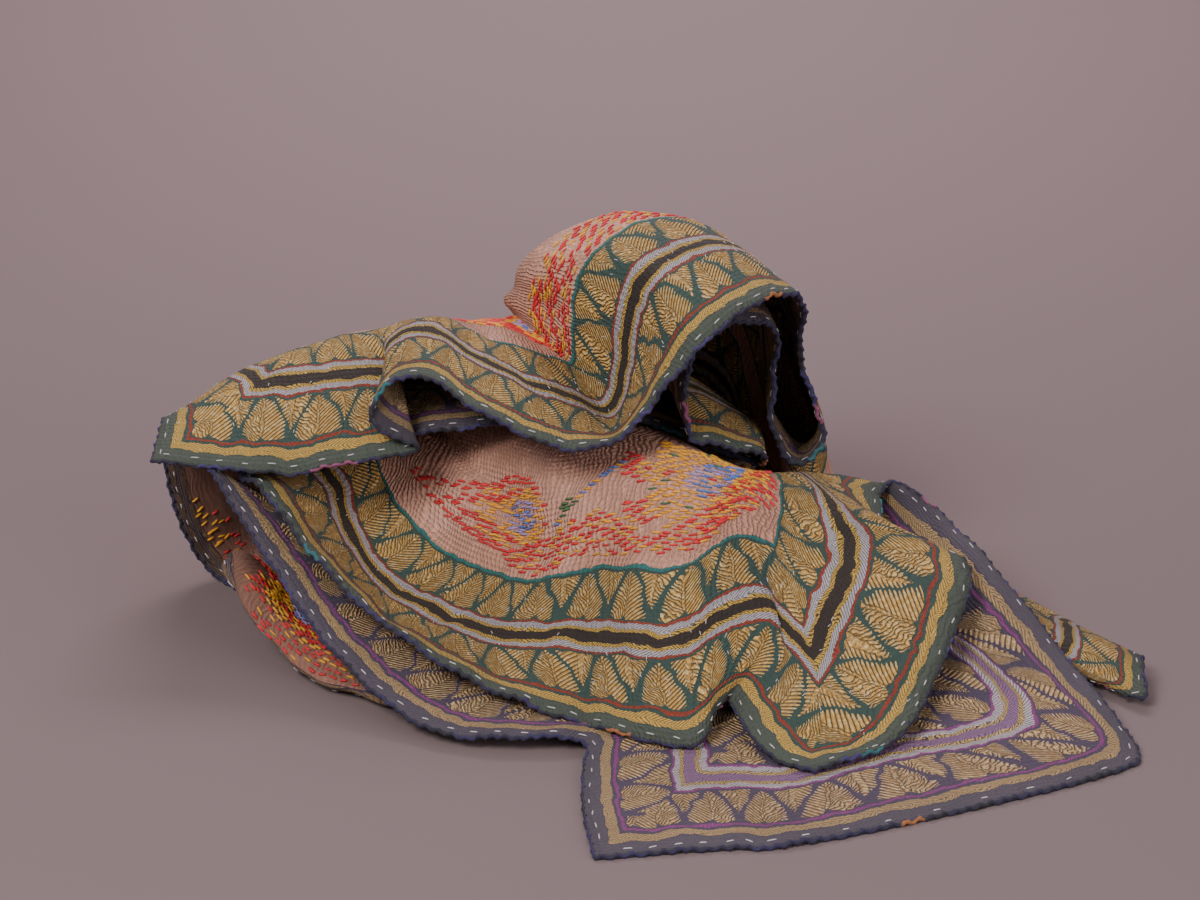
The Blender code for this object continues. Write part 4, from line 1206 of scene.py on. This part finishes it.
# %% Where the motifs are
# Kind, then its centre: cm along from the named fold and from the hem. Then its size and turn.
FRONT_MOTIFS = (
    (flower, "mid right", 3.7, 21.3, 0.92, 0), (flame, "mid low", 1.6, 17.6, 0.92, 6),
    (blaze, "mid crest", 0.5, 15.6, 0.8, -6), (blaze, "mid right", 5.5, 16.6, 0.95, 14),
    (blaze, "mid front", 0.0, 15.0, 0.7, 0), (sprig, "mid front", 4.0, 19.5, 1.0, 0),
    (flame, "flap right", 1.0, 15.8, 0.8, 0), (blaze, "hood foot", 4.0, 15.0, 1.0, 0),
    (blaze, "arch right", 0.0, 15.2, 0.9, 0), (blaze, "hood rise", 3.0, 15.2, 1.0, 0),
    (blaze, "hood top", 5.0, 15.4, 1.0, 0), (flower, "tuck foot", 0.0, 33.0, 1.0, 0),
    (flame, "left mid", 0.0, 19.0, 0.9, 0), (flower, "hood crown", 4.0, 40.0, 1.0, 0),
    (flame, "arch left", 5.0, 20.0, 0.8, 0), (flower, "hood foot", 0.0, 38.0, 0.9, 0),
)
REVERSE_MOTIFS = (
    (flame, "left edge", 1.0, 17.0, 1.3, 80), (flame, "left", 3.0, 13.0, 1.2, 60),
    (blaze, "left mid", 2.0, 8.5, 1.0, 70), (flower, "foot left", 1.0, 8.0, 0.9, 0),
    (blaze, "foot left", 4.0, 3.4, 1.1, 10), (flame, "arch left", 3.0, 6.0, 0.9, 0),
    (blaze, "flap right", 0.0, 4.5, 1.0, 0),
)
front_stitches = field_stitches("field_stitches", FRONT_MOTIFS, "near", 1,
                                ("left edge", "right edge"))
reverse_stitches = field_stitches("reverse_stitches", REVERSE_MOTIFS, "far", -1,
                                  ("left edge", "hood foot"))

# %% [markdown]
# A running stitch in white thread holds the turned hem down. It comes up on both faces, and
# small white tacking stitches were left in the border of the right side.

# %% White hem stitches
WHITE = linear("#c4c0c6")
HEM_STITCH = 0.64
HEM_PITCH = 1.9
HEM_DEPTH = 0.55            # cm from the edge
WHITE_THREAD = 0.11
TACKS = 420
TACK_THREAD = 0.07
hem_places = []
for depths, along in ((from_near, along_near), (from_far, along_far)):
    line = np.arange(1.0, along[-1] - 1, HEM_PITCH)
    row = np.interp(line, along, np.arange(FINE_ROWS))
    hem_places.append(np.stack([row, column_at(row, np.full(len(row), HEM_DEPTH), depths),
                                np.zeros(len(row))], 1))
for edge_row, across in ((0, across_start), (FINE_ROWS - 1, across_end)):
    line = np.arange(1.0, across[-1] - 1, HEM_PITCH)
    column = np.interp(line, across, np.arange(FINE_COLUMNS))
    inward = HEM_DEPTH / on_cloth(row_step, np.full(len(line), float(edge_row)), column)[:, 0]
    row = edge_row + inward * (1 if edge_row == 0 else -1)
    hem_places.append(np.stack([row, column, np.full(len(row), math.pi / 2)], 1))
hem_places = np.concatenate(hem_places)
hem_pieces = []
for name, side in (("hem_stitches", 1), ("hem_stitches_reverse", -1)):
    shifted = hem_places + random.normal(0, 1, hem_places.shape) * (0.12, 0.06, 0.09)
    count = len(shifted)
    hem_pieces.append(add_stitches(
        name, shifted[:, 0], shifted[:, 1], shifted[:, 2],
        HEM_STITCH * (0.8 + 0.4 * random.random(count)), np.full(count, WHITE_THREAD),
        np.tile(WHITE, (count, 1)), side, stitch_thread))

tack_row = random.uniform(0, FINE_ROWS - 1, TACKS)
tack_column = column_at(tack_row, random.uniform(2.6, 12.6, TACKS), from_near)
tacks = add_stitches("tacking_stitches", tack_row, tack_column,
                     random.normal(math.pi / 2, 0.4, TACKS), random.uniform(0.25, 0.5, TACKS),
                     np.full(TACKS, TACK_THREAD), np.tile(WHITE, (TACKS, 1)), 1, stitch_thread)

# %% [markdown]
# The hem's edge is whipped all round with dark purple thread, pulled tight enough to ruffle.
# Where a thread ran out, the next one was now and then pink, orange or teal.

# %% The ruffled edge
EDGE_STEP = 0.13
EDGE_SIDES = 6
EDGE_RADIUS = 0.145
WHIP_PITCH = 0.42           # one whipping stitch to the next
RUFFLE_PITCH = 0.95
RUN_OF_THREAD = 1.7         # cm that one length of thread covers, at the least
rim = np.concatenate([
    np.stack([np.arange(FINE_ROWS - 1), np.zeros(FINE_ROWS - 1)], 1),
    np.stack([np.full(FINE_COLUMNS - 1, FINE_ROWS - 1), np.arange(FINE_COLUMNS - 1)], 1),
    np.stack([np.arange(FINE_ROWS - 1, 0, -1), np.full(FINE_ROWS - 1, FINE_COLUMNS - 1)], 1),
    np.stack([np.zeros(FINE_COLUMNS - 1), np.arange(FINE_COLUMNS - 1, 0, -1)], 1)]).astype(int)
spots = cloth[rim[:, 0], rim[:, 1]]
spots = np.concatenate([spots, spots[:1]])
ups = cloth_normals[rim[:, 0], rim[:, 1]]
ups = np.concatenate([ups, ups[:1]])
run = measured(np.linalg.norm(np.diff(spots, axis=0), axis=1), 0)
count = int(run[-1] / EDGE_STEP)
place = np.linspace(0, run[-1], count, endpoint=False)
line = np.stack([np.interp(place, run, spots[:, k]) for k in range(3)], 1)
up = np.stack([np.interp(place, run, ups[:, k]) for k in range(3)], 1)
forward = np.roll(line, -1, 0) - np.roll(line, 1, 0)
forward /= np.linalg.norm(forward, axis=1, keepdims=True)
outward = np.cross(forward, up)
outward /= np.linalg.norm(outward, axis=1, keepdims=True)
up = np.cross(outward, forward)
slow = np.sin(place / 2.3) + np.sin(place / 3.7 + 1)
wave = np.sin(place * 2 * math.pi / RUFFLE_PITCH + slow)
line = line + up * (0.10 * wave)[:, None] + outward * (0.02 + 0.05 * np.cos(
    place * 2 * math.pi / RUFFLE_PITCH * 0.5 + slow))[:, None]
radius = EDGE_RADIUS + 0.035 * np.sin(place * 2 * math.pi / WHIP_PITCH)
angle = np.arange(EDGE_SIDES) * 2 * math.pi / EDGE_SIDES
ring = (outward[:, None] * np.cos(angle)[None, :, None] * 0.8
        + up[:, None] * np.sin(angle)[None, :, None] * 1.15)
edge_points = line[:, None] + ring * radius[:, None, None]
edge_points[..., 2] = np.maximum(edge_points[..., 2], 0.0)
a = np.arange(count)[:, None] * EDGE_SIDES + np.arange(EDGE_SIDES)[None]
b = np.roll(a, -1, 1)
c, d = np.roll(a, -1, 0), np.roll(b, -1, 0)
edge_faces = np.concatenate([np.stack([a, b, d], -1).reshape(-1, 3),
                             np.stack([a, d, c], -1).reshape(-1, 3)])
EDGE_HUES = [linear(code) for code in (
    "#28243f", "#2f2a50", "#232331", "#2b2746", "#3a3466", "#84486a", "#97603c", "#2a5f68")]
hue_chance = (0.26, 0.2, 0.2, 0.14, 0.08, 0.05, 0.03, 0.04)
runs = random.choice(len(EDGE_HUES), size=int(run[-1] / RUN_OF_THREAD) + 2, p=hue_chance)
edge_colour = np.array(EDGE_HUES)[runs[(place / RUN_OF_THREAD).astype(int)]]
ruffled_edge = add_mesh("ruffled_edge", edge_points.reshape(-1, 3), edge_faces, [edge_thread])
paint(ruffled_edge, np.repeat(edge_colour, EDGE_SIDES, axis=0))
print("edge is", run[-1].round(), "cm round, with", len(edge_faces), "triangles")

# %% [markdown]
# Floor, light and camera are the studio's and not the quilt's. One sweep of mauve-grey paper is
# floor and backdrop at once. A soft lamp at the upper left gives most of the light, a wider and
# weaker one stands at the right, and a third lights the paper behind.

# %% Studio
# Distance back and height of the paper, in metres, from front to back.
sweep_line = [(-4.0, 0.0), (1.1, 0.0), (1.4, 0.015), (1.65, 0.06), (1.85, 0.14), (2.03, 0.28),
              (2.16, 0.46), (2.25, 0.72), (2.3, 1.1), (2.33, 3.5)]
floor_points = [(x * 100, y * 100, z * 100) for y, z in sweep_line for x in (-5, 5)]
floor_faces = [(2 * k, 2 * k + 1, 2 * k + 3, 2 * k + 2) for k in range(len(sweep_line) - 1)]
paper = bpy.data.materials.new("matte backdrop paper")
paper.use_nodes = True
paper.node_tree.nodes["Principled BSDF"].inputs["Base Color"].default_value = (
    *linear("#796a6d"), 1.0)
paper.node_tree.nodes["Principled BSDF"].inputs["Roughness"].default_value = 0.95
floor = add_mesh("floor", floor_points, floor_faces, [paper])


def lamp(name, place, aim, size, power, tint):
    """A soft square lamp pointed at a place, in metres."""
    light = bpy.data.lights.new(name, "AREA")
    light.size = size
    light.energy = power
    light.color = linear(tint)
    holder = bpy.data.objects.new(name, light)
    holder.location = place
    holder.rotation_euler = (Vector(aim) - Vector(place)).to_track_quat("-Z", "Y").to_euler()
    bpy.context.collection.objects.link(holder)


lamp("key", (-1.1, -1.7, 1.9), (0, 0, 0.1), 0.9, 57.0, "#fff8f0")
lamp("fill", (1.7, -1.9, 1.0), (0, 0, 0.1), 1.6, 26.0, "#fff4f0")
lamp("backdrop", (0, 1.7, 2.0), (0, 2.2, 0), 1.4, 52.0, "#fff2f4")
world = bpy.data.worlds.new("studio")
world.use_nodes = True
world.node_tree.nodes["Background"].inputs["Color"].default_value = (*linear("#e8e2e4"), 1.0)
world.node_tree.nodes["Background"].inputs["Strength"].default_value = 0.55
bpy.context.scene.world = world

camera = bpy.data.cameras.new("camera")
camera.lens = 76.0
camera.sensor_width = 36.0
camera_holder = bpy.data.objects.new("camera", camera)
camera_holder.location = (-0.0287, -1.6996, 0.7785)
aim = Vector((-0.0287, -0.0551, 0.18))
camera_holder.rotation_euler = (aim - camera_holder.location).to_track_quat("-Z", "Y").to_euler()
bpy.context.collection.objects.link(camera_holder)
bpy.context.scene.camera = camera_holder
print("camera at", [round(x, 2) for x in camera_holder.location])

# %% [markdown]
# Last, each piece is tied to the CAD body, and the quilt's CAD solid is hidden. The quilt is one
# folded sheet of cloth; its flat size is estimated from the cloth laid here, and isn't a measured
# one.

# %% Tie to the frame
pieces = [quilt_cloth, front_stitches, reverse_stitches, *hem_pieces, tacks, ruffled_edge]
for piece in pieces:
    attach(piece, "root")
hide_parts("quilt")
